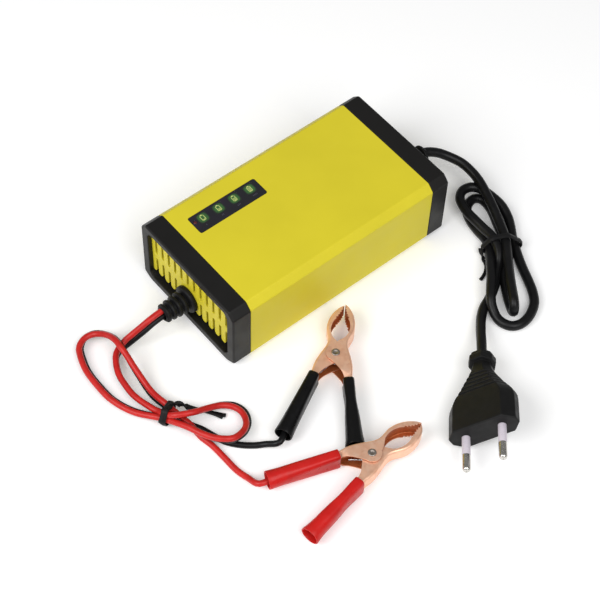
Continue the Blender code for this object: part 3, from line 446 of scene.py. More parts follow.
def make_board_look():
    """Green solder mask with lighter copper runs under it."""
    look = Surface("circuit_board", (0.010, 0.085, 0.030), 0.35)
    runs = look.node("ShaderNodeTexBrick")
    runs.inputs["Scale"].default_value = 180.0
    runs.inputs["Mortar Size"].default_value = 0.06
    look.link(look.place, runs.inputs["Vector"])
    look.tinted(look.mapped(runs.outputs["Fac"], 0.0, 1.0, 0.0, 0.8), (0.03, 0.17, 0.06))
    look.worn(0.28, 0.45, 2.0, 3.0)
    look.bumps(runs.outputs["Fac"], 0.03)
    return look


# ---------------------------------------------------------------- shapes


def mesh_of(name, shape):
    """A mesh in metres from a bmesh in millimetres, facing outwards and smooth."""
    bmesh.ops.recalc_face_normals(shape, faces=shape.faces[:])
    bmesh.ops.scale(shape, vec=(MM, MM, MM), verts=shape.verts[:])
    mesh = bpy.data.meshes.new(name)
    shape.to_mesh(mesh)
    shape.free()
    mesh.shade_smooth()
    return mesh


def solid(name, shape):
    return added(name, mesh_of(name, shape))


def evaluated_mesh(piece):
    """What a piece's modifiers, or its curve's bevel, make of it."""
    graph = bpy.context.evaluated_depsgraph_get()
    return bpy.data.meshes.new_from_object(piece.evaluated_get(graph))


def applied(piece):
    """Replaces a piece's mesh with what its modifiers make of it."""
    mesh = evaluated_mesh(piece)
    piece.modifiers.clear()
    old = piece.data
    piece.data = mesh
    bpy.data.meshes.remove(old)
    return piece


def carved(piece, operation, shapes):
    """Cuts shapes from a piece, or joins them to it."""
    helpers = []
    for number, shape in enumerate(shapes):
        helpers.append(solid(f"{piece.name}_helper_{number}", shape))
        modifier = piece.modifiers.new("Boolean", "BOOLEAN")
        modifier.operation = operation
        modifier.solver = "EXACT"
        modifier.object = helpers[-1]
    bpy.context.view_layer.update()
    applied(piece)
    for helper in helpers:
        bpy.data.meshes.remove(helper.data)
    piece.data.shade_smooth()
    return piece


def dressed(piece, look, body="charger", stands_for=(), bevel=0.0, angle=38.0):
    """Gives a piece its rounded edges, its material and its body, and hides the CAD nodes it stands for."""
    piece.data.materials.clear()
    piece.data.materials.append(LOOKS[look])
    if bevel:
        modifier = piece.modifiers.new("Bevel", "BEVEL")
        modifier.width = bevel * MM
        modifier.segments = 2
        modifier.limit_method = "ANGLE"
        modifier.angle_limit = math.radians(angle)
        weights = piece.modifiers.new("Normals", "WEIGHTED_NORMAL")
        weights.weight = 60
    elif piece.type == "MESH":
        piece.data.set_sharp_from_angle(angle=math.radians(angle))
    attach(piece, body)
    if stands_for:
        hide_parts(*stands_for)
    return piece


def loft(rings, closed=False):
    """Joins rings of equal counts with quads."""
    shape = bmesh.new()
    rows = [[shape.verts.new(point) for point in ring] for ring in rings]
    pairs = list(zip(rows, rows[1:]))
    if closed:
        pairs.append((rows[-1], rows[0]))
    count = len(rows[0])
    for low, high in pairs:
        for i in range(count):
            j = (i + 1) % count
            shape.faces.new((low[i], low[j], high[j], high[i]))
    if not closed:
        shape.faces.new(rows[0])
        shape.faces.new(rows[-1])
    return shape


def section(outline, y):
    return [(x, y, z) for x, z in outline]


def extrude_y(outline, y0, y1):
    return loft([section(outline, y) for y in (y0, y1)])


def extrude_z(outline, z0, z1):
    return loft([[(x, y, z) for x, y in outline] for z in (z0, z1)])


def rectangle(x0, x1, y0, y1):
    return [(x0, y0), (x1, y0), (x1, y1), (x0, y1)]


def box(x0, x1, y0, y1, z0, z1):
    return extrude_z(rectangle(x0, x1, y0, y1), z0, z1)


def circle(radius, count, centre=(0.0, 0.0)):
    steps = [2 * math.pi * i / count for i in range(count)]
    return [(centre[0] + radius * math.cos(a), centre[1] + radius * math.sin(a)) for a in steps]


def turned(profile, count, closed=False):
    """A shape turned about Z from (radius, z) points."""
    rings = [[(x, y, z) for x, y in circle(radius, count)] for radius, z in profile]
    return loft(rings, closed)


def rod(radius, z0, z1, centre=(0.0, 0.0), count=32):
    return extrude_z(circle(radius, count, centre), z0, z1)


def moved(shape, matrix):
    bmesh.ops.transform(shape, matrix=matrix, verts=shape.verts[:])
    return shape


def along_y(shape, x, y, z, direction=1):
    """Turns a shape built along Z to run along Y (or -Y), and moves it."""
    return moved(shape, Matrix.Translation((x, y, z)) @ rotation(-90 * direction, "X"))


def together(shapes):
    """Several shapes as one bmesh."""
    whole = bmesh.new()
    for shape in shapes:
        mesh = bpy.data.meshes.new("part")
        shape.to_mesh(mesh)
        shape.free()
        whole.from_mesh(mesh)
        bpy.data.meshes.remove(mesh)
    return whole


def filleted(points, radius, steps=4):
    """The polygon with each corner rounded."""
    rounded = []
    for i, corner in enumerate(points):
        corner = Vector(corner)
        back = Vector(points[i - 1]) - corner
        ahead = Vector(points[(i + 1) % len(points)]) - corner
        reach = min(radius / math.tan(back.angle(ahead) / 2), back.length * 0.49, ahead.length * 0.49)
        start = corner + back.normalized() * reach
        end = corner + ahead.normalized() * reach
        for k in range(steps + 1):
            t = k / steps
            rounded.append((1 - t) ** 2 * start + 2 * t * (1 - t) * corner + t * t * end)
    return [tuple(p) for p in rounded]


def arc(centre, radius, start, end, steps):
    """Points on an arc, from start to end degrees."""
    points = []
    for k in range(steps + 1):
        a = math.radians(start + (end - start) * k / steps)
        points.append((centre[0] + radius * math.cos(a), centre[1] + radius * math.sin(a)))
    return points


def run_at(points, i, closed=False):
    """The step past point i: from the point before it to the point after it, where they exist."""
    if closed:
        return points[(i + 1) % len(points)] - points[i - 1]
    return points[min(i + 1, len(points) - 1)] - points[max(i - 1, 0)]


def smooth_run(points, steps=4):
    """More points on a smooth curve through these."""
    knots = [Vector(p) for p in points]
    ends = [2 * knots[0] - knots[1]] + knots + [2 * knots[-1] - knots[-2]]
    fine = []
    for a, b, c, d in zip(ends, ends[1:], ends[2:], ends[3:]):
        for i in range(steps):
            t = i / steps
            fine.append(0.5 * (2 * b + (c - a) * t + (2 * a - 5 * b + 4 * c - d) * t ** 2
                               + (3 * b - a - 3 * c + d) * t ** 3))
    return fine + [knots[-1]]


def smooth_points(route, spacing):
    """Points at an even spacing along a smooth curve through the route's points."""
    fine = smooth_run(route, 20)
    length = sum((q - p).length for p, q in zip(fine, fine[1:]))
    count = max(2, round(length / spacing))
    step = length / count
    points, travelled = [fine[0]], 0.0
    for p, q in zip(fine, fine[1:]):
        piece = (q - p).length
        while len(points) < count and travelled + piece >= step * len(points):
            points.append(p.lerp(q, (step * len(points) - travelled) / piece))
        travelled += piece
    points.append(fine[-1])
    return points


def tube(name, points, diameter, resolution=6):
    """A round tube along millimetre points, as a curve."""
    curve = bpy.data.curves.new(name, "CURVE")
    curve.dimensions = "3D"
    curve.bevel_depth = diameter / 2 * MM
    curve.bevel_resolution = resolution
    curve.use_fill_caps = True
    spline = curve.splines.new("POLY")
    spline.points.add(len(points) - 1)
    for target, point in zip(spline.points, points):
        target.co = (*(Vector(point) * MM), 1.0)
    spline.use_smooth = True
    return added(name, curve)


# ---------------------------------------------------------------- case


def cut_corners(half, low, high, bottom, top, fillet):
    """A rectangle as (x, z) points, with its corners cut (across, up) at the bottom and the top."""
    corners = [(-half + bottom[0], low), (half - bottom[0], low), (half, low + bottom[1]),
               (half, high - top[1]), (half - top[0], high), (-half + top[0], high),
               (-half, high - top[1]), (-half, low + bottom[1])]
    return filleted(corners, fillet, 5)


def case_outline(inset=0.0):
    """The case's section, with chamfered and softened corners."""
    slant = inset * 0.41
    top = TOP_CHAMFER - slant
    bottom = (BOTTOM_CHAMFER[0] - slant, BOTTOM_CHAMFER[1] - slant)
    return cut_corners(CASE_HALF - inset, inset, CASE_TOP - inset, bottom, (top, top), 1.5)


def window_outline(inset=0.0):
    cut = (WINDOW_CHAMFER, WINDOW_CHAMFER)
    return cut_corners(WINDOW[0] - inset, WINDOW[1] + inset, WINDOW[2] - inset, cut, cut, 2.2)


def make_case_sleeve():
    """The yellow sleeve, with the display's opening and countersunk holes for the case screws."""
    seam = 0.35
    rings = []
    for end in (-1, 1):
        outer = [section(case_outline(seam * (1 - math.cos(math.radians(a)))),
                         end * (SLEEVE_END_Y - seam * (1 - math.sin(math.radians(a)))))
                 for a in (0, 30, 60, 90)]
        inner = [section(case_outline(WALL), end * SLEEVE_END_Y)]
        rings += (outer + inner)[::-1] if end == -1 else outer + inner
    sleeve = solid("case_shell", loft(rings, closed=True))
    low, high = node_box("display_lens")
    gap = 0.12
    corners = rectangle(low.x - gap, high.x + gap, low.y - gap, high.y + gap)
    cuts = [extrude_z(filleted(corners, 1.3, 6), CASE_TOP - WALL - 1, CASE_TOP + 1)]
    for number in range(1, 5):
        place = node_middle(f"case_screw_{number}")
        cuts.append(rod(1.5, 0.5, WALL + 1, place.xy))
        cuts.append(rod(2.8, -1.0, 1.3, place.xy))
    carved(sleeve, "DIFFERENCE", cuts)
    return dressed(sleeve, "case_yellow", stands_for=["case_sleeve"], bevel=0.22)


def make_bezel(name, node, end):
    """A black end frame with rounded edges round the grille's window."""
    inside = end * (SLEEVE_END_Y + 0.15)
    outside = end * CASE_END
    edge, lip, seam = 1.1, 0.5, 0.35
    steps = [math.radians(a) for a in (0, 22, 45, 68, 90)]
    rings = [section(case_outline(seam * (1 - math.sin(a))), inside + end * seam * (1 - math.cos(a)))
             for a in steps]
    rings += [section(case_outline(edge * (1 - math.cos(a))), outside - end * edge * (1 - math.sin(a)))
              for a in steps]
    rings += [section(window_outline(lip * (math.sin(a) - 1)), outside - end * lip * (1 - math.cos(a)))
              for a in steps]
    rings += [section(window_outline(), outside - end * 6.0),
              section(case_outline(WALL + 1.9), outside - end * 6.0),
              section(case_outline(WALL + 1.9), inside - end * 5.0),
              section(case_outline(WALL + 0.3), inside - end * 5.0),
              section(case_outline(WALL + 0.3), inside)]
    bezel = solid(name, loft(rings, closed=True))
    return dressed(bezel, "case_black", stands_for=[node], bevel=0.15)


def slot_outline(x, z0, z1):
    """A vertical slot with round ends, as (x, z) points."""
    radius = SLOT_WIDTH / 2
    return arc((x, z1 - radius), radius, 0, 180, 8) + arc((x, z0 + radius), radius, 180, 360, 8)


def comb_outline(relief_x):
    """What is cut away below and between the fingers, as one outline."""
    half_finger = (FINGER_PITCH - SLOT_WIDTH) / 2
    radius = SLOT_WIDTH / 2
    tip = FINGER_TIP_Z + half_finger
    points = [(-WINDOW[0] - 1, 0.0), (-WINDOW[0] - 1, tip)]
    for k in range(-6, 7):
        x = k * FINGER_PITCH
        points += arc((x, tip), half_finger, 180, 360, 8)
        middle = x + FINGER_PITCH / 2
        if k < 6 and abs(middle - relief_x) > 8.0:
            points += arc((middle, LOWER_SLOT_TOP - radius), radius, 180, 0, 8)
    return points + [(WINDOW[0] + 1, tip), (WINDOW[0] + 1, 0.0)]


def make_grille(name, node, end, relief_x, relief_z):
    """The yellow grille: closed slots above, a comb of round-ended fingers below, and a boss."""
    face = end * (CASE_END - GRILLE_RECESS)
    back = face - end * GRILLE_THICKNESS
    grille = solid(name, extrude_y(window_outline(0.1), back, face))
    near, far = sorted((back - end, face + end))
    cuts = [extrude_y(comb_outline(relief_x), near, far)]
    cuts += [extrude_y(slot_outline((i + 0.5) * FINGER_PITCH, *UPPER_SLOT), near, far)
             for i in range(-6, 6)]
    carved(grille, "DIFFERENCE", cuts)
    boss = along_y(rod(8.0, -0.2, GRILLE_THICKNESS - 0.1, count=48), relief_x, back, relief_z, end)
    carved(grille, "UNION", [boss])
    hole = along_y(rod(5.4, -3.0, 5.0, count=48), relief_x, back, relief_z, end)
    carved(grille, "DIFFERENCE", [hole])
    return dressed(grille, "case_yellow", stands_for=[node], bevel=0.25)


def make_case_screws():
    """Countersunk screws with cross recesses."""
    profile = [(0.0, 0.30), (1.9, 0.30), (2.2, 0.42), (2.3, 0.60), (2.25, 0.9), (1.2, 1.9), (1.1, 8.8),
               (0.0, 8.8)]
    for number in range(1, 5):
        node = f"case_screw_{number}"
        place = node_middle(node)
        shape = turned([(max(r, 0.01), z) for r, z in profile], 32)
        screw = solid(f"{node}_finished", moved(shape, Matrix.Translation((place.x, place.y, 0))))
        turn = Matrix.Translation((place.x, place.y, 0)) @ Matrix.Rotation(0.4 * number, 4, "Z")
        arms = [moved(box(-a, a, -b, b, 0.0, 1.1), turn) for a, b in ((1.2, 0.25), (0.25, 1.2))]
        carved(screw, "DIFFERENCE", arms)
        dressed(screw, "steel", stands_for=[node], bevel=0.06)


# ---------------------------------------------------------------- display


def make_charge_window(number, lens_low, lens_high):
    """One glowing window with its battery mark and tick marks, and the lens's opening for it."""
    low, high = node_box(f"led_window_{number}")
    x, y, _ = (low + high) / 2
    half = (high.x - low.x) / 2 + 0.25
    outline = filleted(rectangle(x - half, x + half, y - half, y + half), 0.7, 4)
    pane = extrude_z(outline, low.z, lens_high.z - 0.03)
    dressed(solid(f"charge_window_{number}", pane), "display_green",
            stands_for=[f"led_window_{number}"])
    make_charge_mark(number, x, y, lens_high.z - 0.03)
    for k in range(number):
        tick = box(lens_high.x - 3.1, lens_high.x - 2.2, y - 1.2 + 0.7 * k, y - 0.9 + 0.7 * k,
                   lens_high.z - 0.01, lens_high.z + 0.02)
        dressed(solid(f"display_tick_{number}_{k + 1}", tick), "display_tick")
    return extrude_z(outline, lens_low.z - 1, lens_high.z + 1)


def make_display():
    """The dark lens, four glowing windows with battery marks, tick marks and the charge lamp."""
    low, high = node_box("display_lens")
    outline = filleted(rectangle(low.x, high.x, low.y, high.y), 1.2, 6)
    lens = solid("display_cover", extrude_z(outline, low.z, high.z))
    cuts = [make_charge_window(number, low, high) for number in range(1, 5)]
    lamp_low, lamp_high = node_box("charge_lamp")
    lamp = (lamp_low + lamp_high) / 2
    cuts.append(rod(0.95, low.z - 1, high.z + 1, lamp.xy))
    dome = [(0.01, lamp_low.z), (0.9, lamp_low.z), (0.9, lamp_high.z - 0.15), (0.75, lamp_high.z - 0.03),
            (0.4, lamp_high.z + 0.05), (0.01, lamp_high.z + 0.08)]
    shape = moved(turned(dome, 24), Matrix.Translation((lamp.x, lamp.y, 0)))
    dressed(solid("charge_lamp_dome", shape), "lamp_red", stands_for=["charge_lamp"])
    carved(lens, "DIFFERENCE", cuts)
    dressed(lens, "display_dark", stands_for=["display_lens"], bevel=0.08)


def make_charge_mark(number, x, y, z):
    """A plain battery outline with a cap and as many bars as the window's level."""
    long, wide, line = 3.4, 2.2, 0.34
    top = z + 0.03
    parts = []
    for sign in (-1, 1):
        edge = sign * (wide - line) / 2
        parts.append(box(edge - line / 2, edge + line / 2, -long / 2, long / 2, z, top))
        end = sign * (long - line) / 2
        parts.append(box(-wide / 2, wide / 2, end - line / 2, end + line / 2, z, top))
    parts.append(box(-0.45, 0.45, long / 2, long / 2 + 0.35, z, top))
    for k in range(number):
        start = -long / 2 + line + 0.12 + k * 0.62
        parts.append(box(-wide / 2 + line + 0.15, wide / 2 - line - 0.15, start, start + 0.34, z, top))
    shape = moved(together(parts), Matrix.Translation((x, y, 0)) @ rotation(90, "Z"))
    dressed(solid(f"charge_mark_{number}", shape), "charge_mark")


# ---------------------------------------------------------------- strain reliefs and cords


def make_strain_relief(name, node, end, bore):
    """A ribbed bush: a flange on the grille, a ribbed taper outside and a head inside."""
    face = CASE_END - GRILLE_RECESS
    start = face + 0.1
    x, z = RELIEF_AXES[node]
    profile = [(5.0, face - 6.0), (5.0, start)]
    profile += [(6.6, start), (7.1, start + 0.15), (7.4, start + 0.55), (7.4, start + 2.0),
                (7.1, start + 2.45), (6.5, start + 2.7), (5.2, start + 2.85)]
    ribs = 4
    pitch = (RELIEF_END - start - 3.4) / ribs
    for i in range(ribs):
        root, crown = 4.5 - 0.25 * i, 6.0 - 0.35 * i
        y = start + 3.1 + i * pitch
        for share, radius in ((0.0, root), (0.22, root), (0.30, root + 0.25), (0.36, crown - 0.45),
                              (0.44, crown - 0.08), (0.56, crown), (0.72, crown), (0.84, crown - 0.08),
                              (0.92, crown - 0.45), (0.98, root + 0.25)):
            profile.append((radius, y + pitch * share))
    profile += [(4.3, RELIEF_END - 0.35), (3.9, RELIEF_END), (bore, RELIEF_END), (bore - 0.2, face - 6.0)]
    bush = solid(name, along_y(turned(profile, 48, closed=True), x, 0, z, end))
    return dressed(bush, "rubber_black", stands_for=[node])


# The twin output lead, as x, y, the black wire's lift off the floor, and how far the red wire above
# it leans to the left, in degrees: from the strain relief to the tie, round the right loop, back
# through the tie, round the left loop, and through the tie once more.
TWIN_ROUTE = (
    (-2.0, -81.3, 11.1, -20), (-1.9, -86.8, 10.5, -20), (-2.2, -91.6, 8.4, -20),
    (-3.3, -95.6, 5.4, -16), (-4.2, -99.9, 2.8, -14), (-4.7, -104.6, 1.0, 3),
    (-3.0, -108.6, 0.2, 5), (0.5, -111.0, 0.0, -1),
    (4.6, -112.8, 0.0, -7), (9.6, -114.1, 0.0, -12), (20.7, -114.5, 0.0, -21),
    (31.6, -112.1, 0.7, -26), (36.1, -110.3, 1.2, -29), (39.7, -109.4, 3.2, -34),
    (44.1, -107.2, 6.4, -35), (47.3, -101.9, 6.8, -31), (47.7, -96.7, 4.0, -31),
    (48.3, -91.0, 1.8, -32), (49.9, -85.4, 0.5, -37), (53.7, -80.7, 0.0, -45),
    (59.4, -79.2, 0.0, -42), (64.9, -81.4, 0.2, -26), (68.4, -85.9, 1.4, -4),
    (70.0, -91.0, 3.5, 9), (69.8, -95.8, 5.5, 18), (65.3, -100.3, 5.6, 26),
    (59.7, -103.4, 5.2, 28), (52.1, -106.2, 4.5, 30), (43.5, -109.5, 2.2, 32),
    (37.2, -112.6, 0.8, 34), (30.0, -117.5, 0.0, 38), (24.7, -120.6, 0.0, 36),
    (18.1, -123.0, 0.0, 33), (10.9, -124.1, 0.0, 31), (-3.5, -123.8, 0.0, 26),
    (-14.3, -120.7, 0.0, 19), (-18.2, -118.5, 0.3, 0), (-20.8, -114.6, 0.9, -27),
    (-19.9, -109.6, 1.8, -41), (-15.6, -106.2, 3.2, -40), (-9.7, -104.9, 5.8, -35),
    (-4.2, -105.3, 7.8, -27), (0.2, -106.1, 7.9, -18), (4.6, -106.4, 6.4, -14),
    (9.7, -106.9, 4.4, -10), (21.8, -107.9, 1.2, -2), (28.3, -107.9, 1.0, -1),
    (33.6, -107.1, 1.4, -3), (38.8, -106.2, 0.8, -4), (43.8, -104.5, 0.1, -16),
    (49.5, -103.2, 0.0, -24),
)
RED_TAIL = (
    (53.4, -104.0, 2.9), (58.2, -103.5, 1.6), (64.6, -102.3, 1.5), (72.8, -101.9, 1.5),
    (81.7, -101.6, 1.6), (88.8, -100.4, 2.8),
)
BLACK_TAIL = (
    (54.2, -100.8, 1.5), (59.8, -98.9, 1.5), (66.4, -96.4, 1.5), (72.1, -92.0, 1.5),
    (76.4, -87.2, 1.6), (79.6, -83.0, 2.6),
)

# The mains cord, as x, y, z: from the strain relief over the bundle to the narrow lower fold, back
# up to the inner left loop, down round the big lower loop, up round the outer top loop, and down
# to the plug.
MAINS_ROUTE = (
    (4.0, 81.3, 20.5), (6.6, 87.0, 19.0), (10.3, 91.4, 16.8), (17.2, 96.0, 14.2),
    (24.3, 97.2, 12.6), (31.4, 96.5, 11.6), (38.7, 94.4, 10.6), (46.4, 91.8, 9.8),
    (54.0, 88.7, 9.0), (61.4, 85.3, 8.7), (67.3, 81.7, 8.3), (72.4, 77.6, 8.4), (77.6, 73.4, 8.6),
    (85.3, 67.2, 9.6), (92.5, 61.9, 10.2), (95.1, 59.9, 10.7), (97.4, 58.4, 9.3), (98.3, 57.8, 6.5),
    (97.4, 58.5, 3.7), (94.2, 60.2, 2.6), (87.6, 64.0, 2.8), (80.4, 69.1, 2.6), (76.2, 73.7, 2.7),
    (72.8, 78.6, 3.1), (69.0, 82.2, 3.5), (64.4, 84.9, 3.5), (58.5, 87.7, 3.0), (51.5, 90.9, 2.6),
    (44.9, 93.9, 2.6), (39.1, 95.3, 2.6), (34.7, 94.7, 2.6), (32.8, 91.8, 2.6), (33.7, 87.5, 2.6),
    (37.0, 83.5, 2.6), (42.7, 81.0, 2.6), (49.4, 79.7, 2.6), (55.6, 78.8, 3.1), (61.1, 76.3, 4.0),
    (66.4, 72.0, 5.0), (71.9, 67.0, 6.6), (77.2, 62.3, 7.8), (81.6, 57.9, 8.0), (85.7, 54.0, 7.4),
    (89.0, 51.8, 5.6), (94.0, 50.3, 3.2), (98.7, 50.5, 2.6), (102.9, 52.9, 2.6), (104.7, 57.7, 2.6),
    (103.7, 64.1, 2.6), (99.9, 70.8, 2.6), (94.1, 75.2, 2.6), (87.7, 78.3, 2.6), (81.3, 81.0, 2.6),
    (75.0, 83.9, 3.0), (68.8, 87.1, 3.5), (63.8, 90.1, 3.5), (58.9, 93.7, 3.4), (53.5, 96.8, 4.0),
    (46.6, 98.6, 5.4), (39.4, 98.2, 6.4), (33.5, 96.8, 7.2), (29.1, 93.5, 7.6), (27.9, 88.4, 7.6),
    (30.4, 84.0, 7.6), (34.9, 81.7, 7.7), (40.8, 80.4, 7.7), (46.6, 80.1, 7.7), (52.8, 79.9, 7.6),
    (58.4, 79.7, 7.9), (63.8, 78.2, 7.6), (68.4, 75.9, 6.2), (71.6, 73.0, 4.0), (75.0, 68.8, 2.7),
    (79.0, 64.0, 2.6), (81.9, 59.5, 2.6), (84.2, 54.6, 2.6), (86.4, 49.3, 2.6), (90.3, 43.9, 3.0),
    (96.6, 37.4, 5.4), (103.0, 31.5, 8.0),
)
MAINS_TIE = (64.5, 82.0)
MAINS_TIE_HEADING = -30.0
OUTPUT_TIE = (39.7, -110.3)
OUTPUT_TIE_HEADING = 30.0


def clamp_matrix(colour):
    """Clamp axes: U towards the jaws, V to the wired half's side, Z up, from the pivot."""
    joint = next(j for j in frame["joints"] if j["name"] == f"{colour}_clamp_hinge")
    place = Matrix.Translation(Vector(joint["pos_m"]) / MM)
    return place @ rotation(CLAMP_HEADINGS[colour], "Z")


def wire_ends(colour):
    """The lead's last points: outside the wired sleeve, at its mouth, and at the crimp inside it."""
    run = (Vector(GRIP_START) - Vector(GRIP_END)).normalized()
    points = []
    for depth, aside in ((-4.0, 0.0), (3.0, 0.0), (9.0, -0.9), (20.0, -0.9)):
        place = Vector(GRIP_END) + run * depth
        points.append(tuple(clamp_matrix(colour) @ Vector((place.x, place.y + aside, -0.6))))
    return tuple(points)


def twin_route(offset):
    """The lower wire's route, or one moved by offset square to it, towards its leaning partner."""
    points = [Vector((x, y, WIRE_FLOOR_Z + lift)) for x, y, lift, _ in TWIN_ROUTE]
    leans = [math.radians(row[3]) for row in TWIN_ROUTE]
    route = []
    for i, (point, lean) in enumerate(zip(points, leans)):
        run = run_at(points, i).normalized()
        above = (Vector((0, 0, 1)) - run * run.z).normalized()
        aside = above * math.cos(lean) + above.cross(run) * math.sin(lean)
        route.append(tuple(point + aside * offset))
    return tuple(route)


def plug_matrix():
    """Plug axes: X across the pins, Y against the pins' direction, Z out of its flat side."""
    turn = rotation(PLUG_HEADING, "Z") @ rotation(-PLUG_PITCH, "Y") @ rotation(PLUG_ROLL, "X")
    return Matrix.Translation(PLUG_FACE) @ (turn @ rotation(90, "Z"))


def make_cord(name, node, route, diameter, look):
    """A cord along its CAD route, and its real length in metres."""
    points = smooth_points(route, 1.6)
    cord = tube(name, points, diameter)
    dressed(cord, look, stands_for=[node])
    length = sum((q - p).length for p, q in zip(points, points[1:])) * MM
    return cord, length


def make_cords(red_pieces, black_pieces):
    """The mains cord and the two wires of the output lead. The pieces passed in for each are not used."""
    plug_end = tuple(plug_matrix() @ Vector((0, PLUG_CORD_END - 3.0, 0)))
    x, z = RELIEF_AXES["mains_strain_relief"]
    start = (x, RELIEF_END - 6.0, z)
    cord, length = make_cord("mains_flex", "mains_cord", (start,) + MAINS_ROUTE + (plug_end,),
                             MAINS_CORD_DIAMETER, "cord_black")
    for colour, offset, tail, look, slot, pieces in (
        ("red", WIRE_PITCH, RED_TAIL, "wire_red", "wire_red", red_pieces),
        ("black", 0.0, BLACK_TAIL, "cord_black", "rubber_black", black_pieces),
    ):
        route = twin_route(offset)
        first = (route[0][0], -RELIEF_END + 6.0, route[0][2])
        wire, length = make_cord(f"output_lead_{colour}", f"output_wire_{colour}",
                                 (first,) + route + tail + wire_ends(colour), WIRE_DIAMETER, look)


# ---------------------------------------------------------------- ties


def hull_loop(centres, radius):
    """A loop round circles at a convex run of centres, as (across, up) points."""
    points = []
    count = len(centres)
    for i, centre in enumerate(centres):
        before = Vector(centre) - Vector(centres[i - 1])
        after = Vector(centres[(i + 1) % count]) - Vector(centre)
        first = math.atan2(before.y, before.x) - math.pi / 2
        turn = (math.atan2(after.y, after.x) - math.pi / 2 - first) % (2 * math.pi)
        points += arc(centre, radius, math.degrees(first), math.degrees(first + turn), 9)
    return points


def strip(points, sides, width, thickness, closed=False):
    """A flat strip with round edges and a wire core, along points, with its sides given."""
    rings = []
    for i, (point, side) in enumerate(zip(points, sides)):
        run = run_at(points, i, closed).normalized()
        side = (side - run * side.dot(run)).normalized()
        up = side.cross(run)
        ring = []
        for across, over in circle(1.0, 20):
            flat = math.copysign(abs(over) ** 0.45, over) * thickness / 2
            core = math.copysign(0.22, over) * math.exp(-(across * width / 0.9) ** 2)
            ring.append(point + side * across * width / 2 + up * (flat + core * abs(over)))
        rings.append(ring)
    return loft(rings, closed)


def make_tie(name, node, place, heading, centres, radius, tail, width, turns, short_end):
    """A twist tie: a flat band round the bundle, a twist, and two ribbon ends that part."""
    thickness = 0.8
    matrix = Matrix.Translation((*place, 0)) @ rotation(heading, "Z")
    outline = hull_loop(centres, radius + thickness / 2)
    band = []
    for i, (v, z) in enumerate(outline):
        wave = 0.12 * math.sin(11 * math.pi * i / len(outline))
        band.append(matrix @ Vector((wave, v, z)))
    along = (matrix.to_3x3() @ Vector((1, 0, 0))).normalized()
    shapes = [strip(band, [along] * len(band), width, thickness, closed=True)]
    points = smooth_points(tail, 0.8)
    twist = round(len(points) * 0.34)
    for strand, share in ((0, 1.0), (1, short_end)):
        path, sides = [], []
        for i, point in enumerate(points[:round(len(points) * share)]):
            run = run_at(points, i)
            across = Vector((-run.y, run.x, 0)).normalized()
            up = run.normalized().cross(across)
            free = max(0.0, (i - twist) / (len(points) - twist))
            angle = math.pi * (strand + 2 * turns * min(i / twist, 1.0))
            turned_side = across * math.cos(angle) + up * math.sin(angle)
            apart = 0.55 - 0.35 * min(1.0, free * 3) + 1.1 * free ** 5
            stacked = 0.4 + 0.72 * strand * min(1.0, free * 3)
            path.append(point + turned_side * apart + Vector((0, 0, stacked)))
            sides.append(turned_side)
        shapes.append(strip(path, sides, width * 0.6, 0.7))
    tie = solid(name, together(shapes))
    return dressed(tie, "rubber_black", stands_for=[node])


def make_ties():
    """The twist ties of the output lead and of the mains cord."""
    wire = WIRE_FLOOR_Z
    output = make_tie("output_twist_tie", "output_tie", OUTPUT_TIE, OUTPUT_TIE_HEADING,
                      [(5.0, wire + 1.3), (4.7, wire + 4.2), (-0.7, wire + 7.4), (-3.0, wire + 4.6),
                       (-1.5, wire + 1.3)], WIRE_DIAMETER / 2 + 0.25,
                      ((38.3, -108.2, 7.6), (38.5, -105.6, 7.5), (38.9, -103.2, 6.5),
                       (40.2, -101.0, 4.9), (42.0, -99.2, 3.3), (44.2, -96.8, 1.9),
                       (46.6, -94.2, 0.9), (50.0, -91.5, 0.4), (55.6, -88.0, 0.3)), 3.4, 1.0, 0.97)
    mains = make_tie("mains_twist_tie", "mains_tie", MAINS_TIE, MAINS_TIE_HEADING,
                     [(6.9, 4.0), (1.4, 8.9), (-4.3, 8.1), (-7.1, 4.0)],
                     MAINS_CORD_DIAMETER / 2 + 0.35,
                     ((59.2, 72.7, 3.4), (60.9, 71.5, 2.2), (63.6, 70.6, 1.2), (66.8, 69.6, 0.6),
                      (70.0, 66.3, 0.3), (72.8, 61.3, 0.3)), 3.0, 0.5, 0.3)
    return output, mains


# ---------------------------------------------------------------- plug


def plug_section(half_width, half_height, corner, y, fillet=0.9):
    """A section with a flat top and bottom, slanted sides and softened edges."""
    w, h, c = half_width, half_height, corner
    edge = h * 0.3
    corners = [(w, -edge), (w, edge), (w - c, h), (-w + c, h), (-w, edge), (-w, -edge), (-w + c, -h),
               (w - c, -h)]
    return section(filleted(corners, fillet, 4), y)


def plug_profile(y):
    """The plug's half width, half height and corner cut at y, read along smooth flanks."""
    stations = ((0.8, 17.6, 6.85, 4.7), (15.0, 17.4, 6.85, 4.7), (17.5, 16.6, 6.8, 4.6),
                (20.0, 15.0, 6.7, 4.4), (24.0, 12.0, 6.4, 3.9), (28.0, 9.5, 6.0, 3.4),
                (31.0, 7.6, 5.6, 3.0), (34.0, 6.0, 5.2, 2.8), (37.5, 4.8, 4.7, 2.4),
                (39.5, 4.6, 4.5, 2.3))
    for low, high in zip(stations, stations[1:]):
        if low[0] <= y <= high[0]:
            share = (y - low[0]) / (high[0] - low[0])
            return tuple(a + (b - a) * share for a, b in zip(low[1:], high[1:]))
    return stations[-1][1:]


GRIP_RIB_FIRST = 20.4
GRIP_RIB_PITCH = 2.5
GRIP_RIBS = 5
GRIP_GROOVE = 0.75


